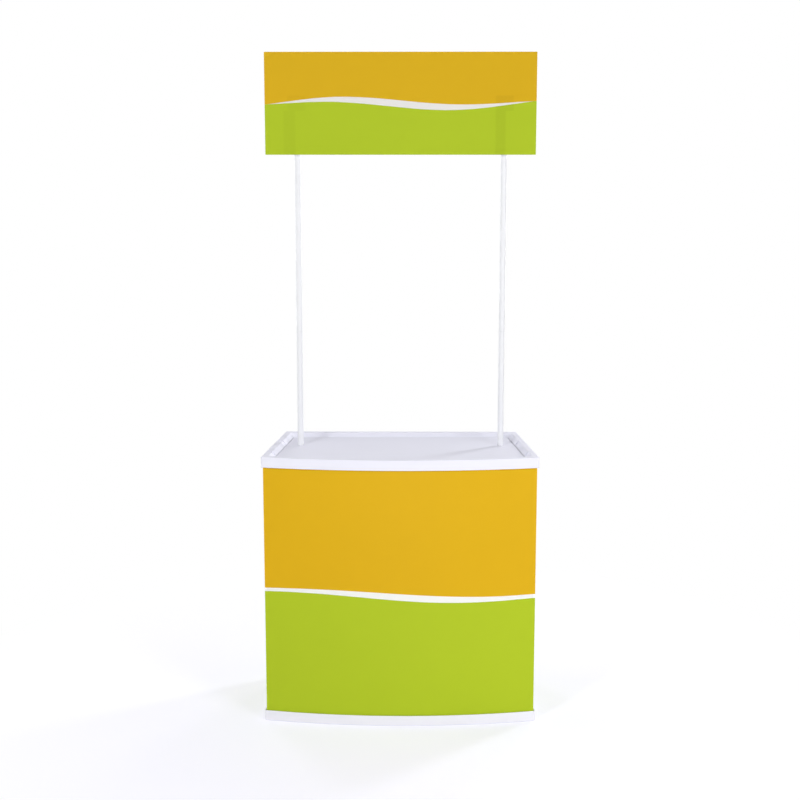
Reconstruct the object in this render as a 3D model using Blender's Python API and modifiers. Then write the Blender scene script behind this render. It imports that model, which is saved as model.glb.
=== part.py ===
"""Exhibition counter: two moulded trays, a wrap folded round them, a shelf, and a header sign on two poles.

Metres, +Z up. The bowed front faces -Y and the open back faces +Y. The origin is under the middle of the
footprint. Left and right are as a visitor sees them from the front, so left is -X.
"""
import math

import bmesh
import bpy
from mathutils import Matrix, Vector

# Footprint, measured over the skirts of the base and the worktop
FRONT_WIDTH = 0.834
REAR_WIDTH = 0.750
SIDE_DEPTH = 0.404
FRONT_BOW = 0.045
WORKTOP_HEIGHT = 0.830
TOTAL_HEIGHT = 2.026

# Clearances between pieces, and how far a cutter runs past what it cuts
FIT = 0.0003
SLIP = 0.0005
OVERRUN = 0.004

# The moulding that serves as the worktop, and upside down as the base
SKIRT_HEIGHT = 0.032
SKIRT_WALL = 0.0025
TRAY_WALL = 0.0022
TRAY_CORNER = 0.004
TRAY_EDGE = 0.002
RIM_WIDTH = 0.0195
RIM_FRONT_WIDTH = 0.032
RECESS_DEPTH = 0.013
RECESS_DRAFT = 0.0105
RECESS_CORNER = 0.014
RIB_WIDTH = 0.0024
RIB_HEIGHT = 0.0065
COLLAR_WIDTH = 0.004
COLLAR_HEIGHT = 0.003
TAB_WIDTH = 0.012
TAB_WALL = 0.0018
TAB_STEP = 0.001

# The wrap: one creased sheet with two coloured films on its outside
WRAP_CLEARANCE = 0.0025
PANEL_THICKNESS = 0.002
FILM_THICKNESS = 0.00025
FILM_TUCK = 0.010
FLAP_WIDTH = 0.109
FLAP_MARGIN = 0.008

# The white stripe that the films leave bare between them
STRIPE_HEIGHT = 0.413
STRIPE_SWELL = 0.0141
STRIPE_WIDTH = 0.0211

# The shelf
SHELF_HEIGHT = 0.470
SHELF_SKIRT = 0.033
SHELF_CLEARANCE = 0.001
SHELF_FRONT_GAP = 0.025
SHELF_CORNER = 0.008
SHELF_RIM = 0.0055
SHELF_DEPTH = 0.013
SHELF_DRAFT = 0.009
SHELF_RECESS_CORNER = 0.035

# The angle brackets that the shelf rests on
BRACKET_LENGTH = 0.040
BRACKET_DROP = 0.024
BRACKET_LEDGE = 0.014
BRACKET_GAUGE = 0.002

# The poles, each in two lengths
POLE_INSET = 0.0767
POLE_SETBACK = 0.1605
POLE_DIAMETER = 0.0185
POLE_WALL = 0.0012
POLE_CLEARANCE = 0.0008
POLE_JOINT_RISE = 0.350
SPIGOT_LENGTH = 0.070
SPIGOT_COLLAR = 0.001
PLUG_LENGTH = 0.012
PLUG_CAP = 0.002

# The header sign and its clips
HEADER_OVERHANG = 0.096
HEADER_HEIGHT = 0.305
HEADER_THICKNESS = 0.003
HEADER_STANDOFF = 0.018
HEADER_CORNER = 0.002
WAVE_DROP = 0.148
WAVE_SWELL = 0.0156
WAVE_WIDTH = 0.0207
CLIP_DROP = 0.129
CLIP_WIDTH = 0.058
CLIP_HEIGHT = 0.045
CLIP_CORNER = 0.003
CLIP_THICKNESS = 0.0025
CLIP_CAP = 0.002
SLEEVE_WALL = 0.0018
CLIP_NECK = 0.010
SCREW_OFFSET = 0.0145
SCREW_DROP = 0.013
SCREW_PITCH = 0.010
SCREW_RADIUS = 0.0010
SCREW_BITE = 0.0017
SCREW_HEAD_RADIUS = 0.0021
SCREW_HEAD_HEIGHT = 0.0010
SCREW_CROWN_SHARE = 0.7

# How finely curves are drawn, and how near points are when they are one
WELD = 0.00001
CREASE_DEGREES = 35
BOW_STEPS = 12
CORNER_STEPS = 5
EDGE_STEPS = 3
SIDE_STEPS = 10
FLAP_STEPS = 3
WAVE_STEPS = 32
ROUND_STEPS = 24
SCREW_STEPS = 12

# Straight ribs under a tray, each as its two ends: the first number of an end is a share of half the rear
# width, the second a share of the side depth, counted from the rear. The last three have a twin across X.
REAR_RIB_SHARES = ((-0.92, 0.09), (0.92, 0.09))
SECOND_RIB_SHARES = ((-0.67, 0.24), (0.67, 0.24))
THIRD_RIB_SHARES = ((-0.52, 0.40), (0.52, 0.40))
DIAGONAL_RIB_SHARES = ((-0.71, 0.098), (0.864, 0.833))
CHEVRON_REAR_SHARES = ((0.76, 0.188), (0.44, 0.50))
CHEVRON_FRONT_SHARES = ((0.44, 0.53), (0.704, 0.723))

# Bowed ribs that follow the front: distance in from the front, and half length, as shares of the side
# depth and of half the rear width
BOWED_RIB_SHARES = ((0.147, 0.912), (0.312, 0.624), (0.460, 0.507))

# Where the retaining tabs stand along a side, and the brackets, as shares of it from the front corner
TAB_PLACE_SHARES = (0.20, 0.61)
BRACKET_PLACE_SHARES = (0.25, 0.75)

# The stripe's upper edge and its width along the wrap: place as a share of half the wrap's length from the
# middle of the front, then the edge as a share of the swell, and the width as a share of the full width
STRIPE_EDGE_SHARES = (
    (-1.0, -0.85), (-0.288, 1.0), (0.345, -0.62), (0.448, -0.53), (0.592, -1.0), (0.935, -0.05), (1.0, -0.07),
)
STRIPE_WIDTH_SHARES = (
    (-1.0, 0.96), (-0.88, 0.90), (-0.448, 0.52), (0.065, 1.0), (0.484, 0.59), (0.806, 1.0), (1.0, 0.99),
)

# The header's wave in the same way: places are shares of half the header's width. The first and last
# lie beyond its ends, so that the wave runs off the sign instead of turning level there.
WAVE_EDGE_SHARES = ((-1.29, -0.98), (-0.428, 1.0), (0.462, -0.455), (1.192, 0.33))
WAVE_WIDTH_END_SHARE = 0.99

# Places that follow from the sizes
REAR_Y = (SIDE_DEPTH + FRONT_BOW) / 2
CORNER_Y = REAR_Y - SIDE_DEPTH
APEX_Y = CORNER_Y - FRONT_BOW
BOW_RADIUS = ((FRONT_WIDTH / 2) ** 2 + FRONT_BOW ** 2) / (2 * FRONT_BOW)
SIDE_RUN = Vector(((REAR_WIDTH - FRONT_WIDTH) / 2, SIDE_DEPTH)).normalized()
SIDE_INWARD = Vector((-SIDE_RUN.y, SIDE_RUN.x))
SIDE_LENGTH = math.hypot((FRONT_WIDTH - REAR_WIDTH) / 2, SIDE_DEPTH)

FILM_INSET = SKIRT_WALL + WRAP_CLEARANCE
PANEL_INSET = FILM_INSET + FILM_THICKNESS + FIT
PANEL_INNER = PANEL_INSET + PANEL_THICKNESS
WRAP_BOTTOM = TRAY_WALL + FIT
WRAP_TOP = WORKTOP_HEIGHT - TRAY_WALL - FIT

POLE_Y = REAR_Y - POLE_SETBACK
POLE_X = REAR_WIDTH / 2 + (FRONT_WIDTH - REAR_WIDTH) / 2 * POLE_SETBACK / SIDE_DEPTH - POLE_INSET
POLE_RADIUS = POLE_DIAMETER / 2
POLE_BORE = POLE_RADIUS - POLE_WALL
POLE_HOLE = POLE_RADIUS + POLE_CLEARANCE
POLE_JOINT_HEIGHT = WORKTOP_HEIGHT + POLE_JOINT_RISE
SOCKET_FLOOR = SHELF_HEIGHT - SHELF_SKIRT + TRAY_WALL
POLE_FOOT = SOCKET_FLOOR + FIT
CLIP_TOP = TOTAL_HEIGHT - CLIP_DROP
POLE_TOP = CLIP_TOP - CLIP_CAP - FIT

HEADER_WIDTH = 2 * (POLE_X + HEADER_OVERHANG)
HEADER_BOTTOM = TOTAL_HEIGHT - HEADER_HEIGHT
WAVE_HEIGHT = TOTAL_HEIGHT - WAVE_DROP
HEADER_FRONT = -HEADER_STANDOFF
BOARD_FRONT = HEADER_FRONT + FILM_THICKNESS + FIT
BOARD_BACK = BOARD_FRONT + HEADER_THICKNESS
CLIP_FRONT = BOARD_BACK + FIT
CLIP_BACK = CLIP_FRONT + CLIP_THICKNESS
SLEEVE_BORE = POLE_RADIUS + SLIP
SLEEVE_RADIUS = SLEEVE_BORE + SLEEVE_WALL


# Scene and object helpers

def clear_scene():
    """Remove every object, so that the model starts from nothing."""
    for old in list(bpy.data.objects):
        bpy.data.objects.remove(old)


def new_collection(name):
    """Make a collection in the scene."""
    collection = bpy.data.collections.new(name)
    bpy.context.scene.collection.children.link(collection)
    return collection


def keep(name, work):
    """Turn a bmesh into an object in the counter's collection."""
    mesh = bpy.data.meshes.new(name)
    work.to_mesh(mesh)
    work.free()
    made = bpy.data.objects.new(name, mesh)
    PARTS.objects.link(made)
    return made


def finish(made, colour, roughness, metallic=0.0):
    """Give a piece its own plain material, and shade its curves smooth between its edges."""
    material = bpy.data.materials.new(made.name + "_finish")
    material.use_nodes = True
    shader = material.node_tree.nodes["Principled BSDF"]
    shader.inputs["Base Color"].default_value = (*colour, 1.0)
    shader.inputs["Roughness"].default_value = roughness
    shader.inputs["Metallic"].default_value = metallic
    if made.modifiers:
        bake(made)
    made.data.materials.clear()
    made.data.materials.append(material)
    made.data.shade_smooth()
    made.data.set_sharp_from_angle(angle=math.radians(CREASE_DEGREES))


def stand(name, place, parent=None):
    """Make an empty that carries the pieces that move together."""
    empty = bpy.data.objects.new(name, None)
    PARTS.objects.link(empty)
    empty.empty_display_size = POLE_DIAMETER
    mount(empty, place, parent)
    return empty


def mount(made, place, parent=None):
    """Put an object at a place that is given in the counter's frame, under its parent."""
    made.parent = parent
    made.location = Vector(place)
    if parent is not None:
        made.location -= HOMES[parent.name]
    HOMES[made.name] = Vector(place)


def bake(made):
    """Replace an object's mesh with what its modifiers make of it."""
    bpy.context.view_layer.update()
    evaluated = made.evaluated_get(bpy.context.evaluated_depsgraph_get())
    mesh = bpy.data.meshes.new_from_object(evaluated)
    made.modifiers.clear()
    made.data = mesh


def combine(target, tool, operation):
    """Join a tool to the target, or cut the target with it, and use the tool up."""
    boolean = target.modifiers.new(operation.lower(), "BOOLEAN")
    boolean.operation = operation
    boolean.object = tool
    bake(target)
    bpy.data.objects.remove(tool)


def join(target, *tools):
    for tool in tools:
        combine(target, tool, "UNION")


def cut(target, *tools):
    for tool in tools:
        combine(target, tool, "DIFFERENCE")


# Basic shapes

def upright_cylinder(name, radius, low, high, centre=(0, 0), steps=ROUND_STEPS):
    """A cylinder along Z."""
    work = bmesh.new()
    bmesh.ops.create_cone(
        work, cap_ends=True, segments=steps, radius1=radius, radius2=radius, depth=high - low,
        matrix=Matrix.Translation((centre[0], centre[1], (low + high) / 2)),
    )
    return keep(name, work)


def level_cylinder(name, radius, near, far, centre, steps=SCREW_STEPS):
    """A cylinder along Y, centred on an x and a z."""
    work = bmesh.new()
    turn = Matrix.Rotation(math.pi / 2, 4, "X")
    bmesh.ops.create_cone(
        work, cap_ends=True, segments=steps, radius1=radius, radius2=radius, depth=far - near,
        matrix=Matrix.Translation((centre[0], (near + far) / 2, centre[1])) @ turn,
    )
    return keep(name, work)


def bridge(work, rings):
    """Close a solid over rings of as many points each, which turn anticlockwise seen from the last ring."""
    count = len(rings[0])
    for lower, upper in zip(rings, rings[1:]):
        for i in range(count):
            j = (i + 1) % count
            work.faces.new((lower[i], lower[j], upper[j], upper[i]))
    work.faces.new(list(reversed(rings[0])))
    work.faces.new(rings[-1])


def stack(name, sections):
    """Loft a solid through level outlines with as many points each: (z, outline) from the bottom up."""
    work = bmesh.new()
    bridge(work, [[work.verts.new((x, y, z)) for x, y in outline] for z, outline in sections])
    return keep(name, work)


def turned(name, profile, closed, steps=ROUND_STEPS):
    """Turn a profile of (radius, z) round the Z axis. It runs down its outer side."""
    work = bmesh.new()
    points = [work.verts.new((radius, 0, z)) for radius, z in profile]
    for first, second in zip(points, points[1:]):
        work.edges.new((first, second))
    if closed:
        work.edges.new((points[-1], points[0]))
    made = keep(name, work)
    screw = made.modifiers.new("turn", "SCREW")
    screw.axis = "Z"
    screw.angle = math.tau
    screw.steps = steps
    screw.render_steps = steps
    screw.use_merge_vertices = True
    screw.merge_threshold = WELD
    return made


# The footprint, drawn in from the edge of the skirts

def side_point(inset, along):
    """A point on the right side, drawn in by the inset, at a distance along it from the front corner."""
    return Vector((FRONT_WIDTH / 2, CORNER_Y)) + SIDE_RUN * along + SIDE_INWARD * inset


def side_meets_circle(inset, centre_y, radius):
    """Where the right side, drawn in, meets a circle that bows to the front."""
    start = side_point(inset, 0)
    to_centre = Vector((0, centre_y)) - start
    across = to_centre.dot(SIDE_INWARD)
    return start + SIDE_RUN * (to_centre.dot(SIDE_RUN) - math.sqrt(radius ** 2 - across ** 2))


def side_meets_rear(inset):
    """Where the right side, drawn in, meets the rear, drawn in as much."""
    start = side_point(inset, 0)
    return start + SIDE_RUN * ((REAR_Y - inset - start.y) / SIDE_RUN.y)


def front_circle(inset, apex_inset):
    """The centre's y and the radius of the front, drawn in by one inset at its corners and one at its middle."""
    corner = side_meets_circle(inset, APEX_Y + BOW_RADIUS, BOW_RADIUS - inset)
    apex_y = APEX_Y + apex_inset
    bow = corner.y - apex_y
    radius = (corner.x ** 2 + bow ** 2) / (2 * bow)
    return apex_y + radius, radius


def on_circle(centre, radius, angle):
    return Vector((centre[0] + radius * math.cos(angle), centre[1] + radius * math.sin(angle)))


def arc(centre, radius, start, end, steps):
    """Points on an arc, from its start to its end."""
    return [on_circle(centre, radius, start + (end - start) * i / steps) for i in range(steps + 1)]


def outline(inset, apex_inset, corner):
    """The footprint drawn in, with rounded corners, anticlockwise from the rear left."""
    centre_y, radius = front_circle(inset, apex_inset)
    front_hub = side_meets_circle(inset + corner, centre_y, radius - corner)
    rear_hub = side_meets_rear(inset + corner)
    front_angle = math.atan2(front_hub.y - centre_y, front_hub.x)
    side_angle = math.atan2(-SIDE_INWARD.y, -SIDE_INWARD.x)
    half = arc((0, centre_y), radius, -math.pi / 2, front_angle, BOW_STEPS)
    half += arc(front_hub, corner, front_angle, side_angle, CORNER_STEPS)[1:]
    half += arc(rear_hub, corner, side_angle, math.pi / 2, CORNER_STEPS)
    return [Vector((-point.x, point.y)) for point in reversed(half[1:])] + half


def band(path, width):
    """The outline of a strip of even width along a path."""
    left = []
    right = []
    for i, point in enumerate(path):
        before = path[max(i - 1, 0)]
        after = path[min(i + 1, len(path) - 1)]
        heading = (after - before).normalized()
        across = Vector((-heading.y, heading.x)) * width / 2
        left.append(point + across)
        right.append(point - across)
    return right + list(reversed(left))


def rectangle(near, low, far, high):
    """The four corners of a section, turning from the first axis to the second."""
    return [(near, low), (far, low), (far, high), (near, high)]


def rounded_rectangle(left, low, right, high, corner):
    """A rectangle with rounded corners, anticlockwise."""
    hubs = ((left, low), (right, low), (right, high), (left, high))
    inward = ((1, 1), (-1, 1), (-1, -1), (1, -1))
    points = []
    for quarter, (hub, step) in enumerate(zip(hubs, inward)):
        centre = (hub[0] + step[0] * corner, hub[1] + step[1] * corner)
        start = math.pi + quarter * math.pi / 2
        points += arc(centre, corner, start, start + math.pi / 2, CORNER_STEPS)
    return points


# The moulded trays. Each is made with its rim's top at z = 0 and its recess facing up.

def tray_shell(name, plan, corner, skirt, rim, rim_front, depth, draft, recess_corner, tabs=()):
    """A skirted tray: a block with a rounded edge, hollowed from below round a dished middle.

    Tabs that stand out from the dish's side are joined to it before the recess is cut.
    """
    inset, apex = plan

    def drawn(amount, apex_amount, radius):
        return outline(inset + amount, apex + apex_amount, radius)

    block = [(-skirt, drawn(0, 0, corner))]
    for i in range(EDGE_STEPS + 1):
        turn = i / EDGE_STEPS * math.pi / 2
        step = TRAY_EDGE * (1 - math.cos(turn))
        block.append((-TRAY_EDGE * (1 - math.sin(turn)), drawn(step, step, corner)))
    shell = stack(name, block)

    hollow = drawn(SKIRT_WALL, SKIRT_WALL, corner)
    cut(shell, stack(name + "_hollow", [(-skirt - OVERRUN, hollow), (-TRAY_WALL, hollow)]))

    spread = draft / depth
    dish_top = rim - TRAY_WALL
    dish_top_front = rim_front - TRAY_WALL
    dish_bottom = -depth - TRAY_WALL
    join(shell, stack(name + "_dish", [
        (dish_bottom, drawn(dish_top + draft, dish_top_front + draft, recess_corner)),
        (-TRAY_WALL / 2, drawn(dish_top, dish_top_front, recess_corner)),
    ]), *tabs)
    cut(shell, stack(name + "_recess", [
        (-depth, drawn(rim + draft, rim_front + draft, recess_corner)),
        (OVERRUN, drawn(rim - OVERRUN * spread, rim_front - OVERRUN * spread, recess_corner)),
    ]))
    return shell


def from_rear(shares):
    """A place under a tray from its shares of half the rear width and of the side depth."""
    return Vector((shares[0] * REAR_WIDTH / 2, REAR_Y - shares[1] * SIDE_DEPTH))


def mirrored(path):
    return [Vector((-point.x, point.y)) for point in reversed(path)]


def rib_paths():
    """The paths of all the ribs that stiffen a tray."""
    paths = [
        [from_rear(end) for end in ends] for ends in (REAR_RIB_SHARES, SECOND_RIB_SHARES, THIRD_RIB_SHARES)
    ]
    for ends in (DIAGONAL_RIB_SHARES, CHEVRON_REAR_SHARES, CHEVRON_FRONT_SHARES):
        path = [from_rear(end) for end in ends]
        paths += [path, mirrored(path)]
    for inset_share, reach_share in BOWED_RIB_SHARES:
        radius = BOW_RADIUS - inset_share * SIDE_DEPTH
        reach = math.asin(reach_share * REAR_WIDTH / 2 / radius)
        middle = -math.pi / 2
        paths.append(arc((0, APEX_Y + BOW_RADIUS), radius, middle - reach, middle + reach, BOW_STEPS))
    return paths


def pole_places():
    return [(side * POLE_X, POLE_Y) for side in (-1, 1)]


def side_bar(name, side, along, width, section):
    """A bar that runs along a side, centred at a distance along it, with a section of (inset, z) points.

    The section turns from inwards to upwards. side is -1 for the left and 1 for the right.
    """
    work = bmesh.new()
    rings = []
    for end in (-side, side):
        ring = []
        for inset, z in section:
            point = side_point(inset, along + end * width / 2)
            ring.append(work.verts.new((side * point.x, point.y, z)))
        rings.append(ring)
    bridge(work, rings)
    return keep(name, work)


def retaining_tabs(name):
    """The hollow tabs beside a tray's dish that hold the wrap out against the skirt, and what hollows them."""
    tab_end = PANEL_INNER + FIT
    wall_foot = RIM_WIDTH + RECESS_DRAFT
    notch_floor = TAB_STEP - RECESS_DEPTH
    tab = rectangle(tab_end, notch_floor - TAB_WALL, wall_foot, -TRAY_WALL / 2)
    notch = rectangle(tab_end + TAB_WALL, notch_floor, wall_foot + TAB_WALL, OVERRUN)
    tabs = []
    notches = []
    for side in (-1, 1):
        for share in TAB_PLACE_SHARES:
            along = share * SIDE_LENGTH
            tabs.append(side_bar(name + "_tab", side, along, TAB_WIDTH, tab))
            notches.append(side_bar(name + "_notch", side, along, TAB_WIDTH - 2 * TAB_WALL, notch))
    return tabs, notches


def moulding(name):
    """The tray that serves both as the worktop and as the base."""
    tabs, notches = retaining_tabs(name)
    shell = tray_shell(
        name, (0, 0), TRAY_CORNER, SKIRT_HEIGHT, RIM_WIDTH, RIM_FRONT_WIDTH,
        RECESS_DEPTH, RECESS_DRAFT, RECESS_CORNER, tabs,
    )
    cut(shell, *notches)
    floor_bottom = -RECESS_DEPTH - TRAY_WALL
    root = floor_bottom + TRAY_WALL / 2
    for path in rib_paths():
        strip = band(path, RIB_WIDTH)
        join(shell, stack(name + "_rib", [(floor_bottom - RIB_HEIGHT, strip), (root, strip)]))

    for place in pole_places():
        join(shell, upright_cylinder(
            name + "_collar", POLE_HOLE + COLLAR_WIDTH, floor_bottom - COLLAR_HEIGHT, root, place,
        ))
        cut(shell, upright_cylinder(
            name + "_hole", POLE_HOLE, floor_bottom - COLLAR_HEIGHT - OVERRUN, OVERRUN, place,
        ))
    return shell


def shelf():
    """The shelf tray, with a closed socket under its floor for the foot of each pole."""
    inset = PANEL_INNER + SHELF_CLEARANCE
    made = tray_shell(
        "shelf_tray", (inset, inset + SHELF_FRONT_GAP), SHELF_CORNER, SHELF_SKIRT, SHELF_RIM, SHELF_RIM,
        SHELF_DEPTH, SHELF_DRAFT, SHELF_RECESS_CORNER,
    )
    root = -SHELF_DEPTH - TRAY_WALL / 2
    for place in pole_places():
        join(made, upright_cylinder("socket", POLE_HOLE + TRAY_WALL, -SHELF_SKIRT, root, place))
        cut(made, upright_cylinder("socket_bore", POLE_HOLE, TRAY_WALL - SHELF_SKIRT, OVERRUN, place))
    return made


# The wrap

def even_steps(start, end, steps):
    """Points from a start up to an end, leaving out the end."""
    return [start.lerp(end, i / steps) for i in range(steps)]


def wrap_path(inset, margin):
    """The line of the folded sheet, from the left flap round the front to the right flap.

    It stops short of the flaps' free edges by the margin.
    """
    radius = BOW_RADIUS - inset
    centre_y = APEX_Y + BOW_RADIUS
    front = side_meets_circle(inset, centre_y, radius)
    rear = side_meets_rear(inset)
    reach = math.asin(front.x / radius)
    middle = -math.pi / 2
    half = arc((0, centre_y), radius, middle, middle + reach, BOW_STEPS)[:-1]
    half += even_steps(front, rear, SIDE_STEPS)
    end = Vector((side_meets_rear(PANEL_INSET).x - FLAP_WIDTH + margin, rear.y))
    half += even_steps(rear, end, FLAP_STEPS)
    half.append(end)
    return mirrored(half[1:]) + half


def distances(path):
    """How far each point of a path lies from its middle, along it, as a share of half its length."""
    run = [0.0]
    for first, second in zip(path, path[1:]):
        run.append(run[-1] + (second - first).length)
    return [2 * value / run[-1] - 1 for value in run]


def eased(table, place):
    """Read a table of (place, value), turning smoothly level at each entry."""
    for (start, low), (end, high) in zip(table, table[1:]):
        if place <= end:
            share = (place - start) / (end - start)
            return low + (high - low) * (1 - math.cos(math.pi * share)) / 2
    return table[-1][1]


def sheet(name, path, lows, highs, thickness):
    """A thin standing sheet along a path, thickened inwards, between a lower and an upper edge."""
    work = bmesh.new()
    lower = [work.verts.new((point.x, point.y, low)) for point, low in zip(path, lows)]
    upper = [work.verts.new((point.x, point.y, high)) for point, high in zip(path, highs)]
    for i in range(len(path) - 1):
        work.faces.new((lower[i], lower[i + 1], upper[i + 1], upper[i]))
    made = keep(name, work)
    wall = made.modifiers.new("thickness", "SOLIDIFY")
    wall.thickness = thickness
    wall.offset = -1
    wall.use_even_offset = True
    return made


def wrap_panel():
    """The creased sheet itself, from the base's groove to the worktop's."""
    path = wrap_path(PANEL_INSET, 0)
    count = len(path)
    return sheet("wrap_panel", path, [WRAP_BOTTOM] * count, [WRAP_TOP] * count, PANEL_THICKNESS)


def wrap_films():
    """The upper and lower coloured films, which leave the wavy stripe bare."""
    path = wrap_path(FILM_INSET, FLAP_MARGIN)
    places = distances(path)
    upper_edge = [STRIPE_HEIGHT + STRIPE_SWELL * eased(STRIPE_EDGE_SHARES, place) for place in places]
    widths = [STRIPE_WIDTH * eased(STRIPE_WIDTH_SHARES, place) for place in places]
    lower_edge = [top - width for top, width in zip(upper_edge, widths)]
    count = len(path)
    bottom = SKIRT_HEIGHT - FILM_TUCK
    top = WORKTOP_HEIGHT - SKIRT_HEIGHT + FILM_TUCK
    upper = sheet("wrap_upper_film", path, upper_edge, [top] * count, FILM_THICKNESS)
    lower = sheet("wrap_lower_film", path, [bottom] * count, lower_edge, FILM_THICKNESS)
    return upper, lower


def bracket(name, side, share):
    """An angle on a side of the wrap, with its ledge under the shelf's skirt."""
    top = SHELF_HEIGHT - SHELF_SKIRT - FIT
    foot = top - BRACKET_DROP
    face = PANEL_INNER + FIT
    leg = face + BRACKET_GAUGE
    ledge = top - BRACKET_GAUGE
    section = [(face, foot), (leg, foot), (leg, ledge), (face + BRACKET_LEDGE, ledge),
               (face + BRACKET_LEDGE, top), (face, top)]
    return side_bar(name, side, share * SIDE_LENGTH, BRACKET_LENGTH, section)


# The poles. Each piece is made round its own axis, with z counted from the floor.

def pole_tube(name, low, high):
    profile = ((POLE_RADIUS, high), (POLE_RADIUS, low), (POLE_BORE, low), (POLE_BORE, high))
    return turned(name, profile, closed=True)


def pole_plug(name, end, inward):
    """A plug that closes a pole's end: its cap lies on the end and its stem inside. inward is 1 for up."""
    stem = POLE_BORE - FIT
    tip = end + inward * (PLUG_CAP + PLUG_LENGTH)
    shoulder = end + inward * PLUG_CAP
    profile = [(0, end), (POLE_RADIUS, end), (POLE_RADIUS, shoulder), (stem, shoulder), (stem, tip), (0, tip)]
    if inward > 0:
        profile.reverse()
    return turned(name, profile, closed=False)


def pole_spigot(name):
    """The rod that joins two lengths of a pole, with a thin collar between them."""
    stem = POLE_BORE - FIT
    half = SPIGOT_LENGTH / 2
    step = SPIGOT_COLLAR / 2
    profile = (
        (0, half), (stem, half), (stem, step), (POLE_RADIUS, step),
        (POLE_RADIUS, -step), (stem, -step), (stem, -half), (0, -half),
    )
    return turned(name, [(radius, POLE_JOINT_HEIGHT + z) for radius, z in profile], closed=False)


# The header sign. Its pieces are made with y counted from the poles' axes.

def header_board():
    """The board, with shallow pilot holes in its back for the clips' screws."""
    face = rounded_rectangle(
        -HEADER_WIDTH / 2, HEADER_BOTTOM, HEADER_WIDTH / 2, HEADER_BOTTOM + HEADER_HEIGHT, HEADER_CORNER,
    )
    made = stack("header_board", [(-BOARD_BACK, face), (-BOARD_FRONT, face)])
    made.data.transform(Matrix.Rotation(math.pi / 2, 4, "X"))
    for side in (-1, 1):
        for place in screw_places(side):
            centre = (side * POLE_X + place[0], place[1])
            depth = SCREW_BITE + FIT
            cut(made, level_cylinder(
                "pilot", SCREW_RADIUS + FIT, BOARD_BACK - depth, BOARD_BACK + OVERRUN, centre,
            ))
    return made


def header_films():
    """The upper and lower coloured films on the board's front."""
    half = HEADER_WIDTH / 2
    path = [Vector((-half + HEADER_WIDTH * i / WAVE_STEPS, HEADER_FRONT)) for i in range(WAVE_STEPS + 1)]
    upper_edge = []
    lower_edge = []
    for point in path:
        place = point.x / half
        top = WAVE_HEIGHT + WAVE_SWELL * eased(WAVE_EDGE_SHARES, place)
        swell = math.cos(math.pi / 2 * min(abs(place) / WAVE_WIDTH_END_SHARE, 1))
        upper_edge.append(top)
        lower_edge.append(top - max(WAVE_WIDTH * swell, FIT))
    count = len(path)
    top = HEADER_BOTTOM + HEADER_HEIGHT
    upper = sheet("header_upper_film", path, upper_edge, [top] * count, FILM_THICKNESS)
    lower = sheet("header_lower_film", path, [HEADER_BOTTOM] * count, lower_edge, FILM_THICKNESS)
    return upper, lower


def screw_places(side):
    """Where a clip's two screws go, as x from the pole's axis and z: both on the clip's outer half."""
    return [(side * SCREW_OFFSET, CLIP_TOP - SCREW_DROP - i * SCREW_PITCH) for i in range(2)]


def header_clip(name, side):
    """A flat plate with a sleeve that drops over a pole. The sleeve is closed at its top."""
    bottom = CLIP_TOP - CLIP_HEIGHT
    plate = rounded_rectangle(-CLIP_WIDTH / 2, bottom, CLIP_WIDTH / 2, CLIP_TOP, CLIP_CORNER)
    made = stack(name, [(-CLIP_BACK, plate), (-CLIP_FRONT, plate)])
    made.data.transform(Matrix.Rotation(math.pi / 2, 4, "X"))
    web = rectangle(-CLIP_NECK / 2, CLIP_FRONT + CLIP_THICKNESS / 2, CLIP_NECK / 2, 0)
    neck = stack(name + "_neck", [(bottom + CLIP_CORNER, web), (CLIP_TOP - CLIP_CORNER, web)])
    sleeve = upright_cylinder(name + "_sleeve", SLEEVE_RADIUS, bottom, CLIP_TOP)
    join(made, neck, sleeve)
    cut(made, upright_cylinder(name + "_bore", SLEEVE_BORE, bottom - OVERRUN, CLIP_TOP - CLIP_CAP))
    for place in screw_places(side):
        cut(made, level_cylinder(
            name + "_hole", SCREW_RADIUS + FIT, CLIP_FRONT - OVERRUN, CLIP_BACK + OVERRUN, place,
        ))
    return made


def clip_screw(name):
    """A small pan-headed screw along -Y, made from the back of its clip's plate."""
    seat = FIT
    tip = -(CLIP_THICKNESS + FIT + SCREW_BITE)
    profile = (
        (0, seat + SCREW_HEAD_HEIGHT), (SCREW_HEAD_RADIUS * SCREW_CROWN_SHARE, seat + SCREW_HEAD_HEIGHT),
        (SCREW_HEAD_RADIUS, seat + SCREW_HEAD_HEIGHT / 2), (SCREW_HEAD_RADIUS, seat),
        (SCREW_RADIUS, seat), (SCREW_RADIUS, tip + SCREW_RADIUS), (0, tip),
    )
    made = turned(name, profile, closed=False, steps=SCREW_STEPS)
    made.rotation_euler = (-math.pi / 2, 0, 0)
    return made


# Colours as linear values

WHITE = (0.83, 0.83, 0.87)
SHEET_WHITE = (0.78, 0.78, 0.79)
ORANGE = (0.73, 0.42, 0.015)
GREEN = (0.42, 0.56, 0.026)
BOARD_WHITE = (0.74, 0.76, 0.82)
POLE_WHITE = (0.86, 0.87, 0.90)
STEEL = (0.55, 0.55, 0.57)


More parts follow.
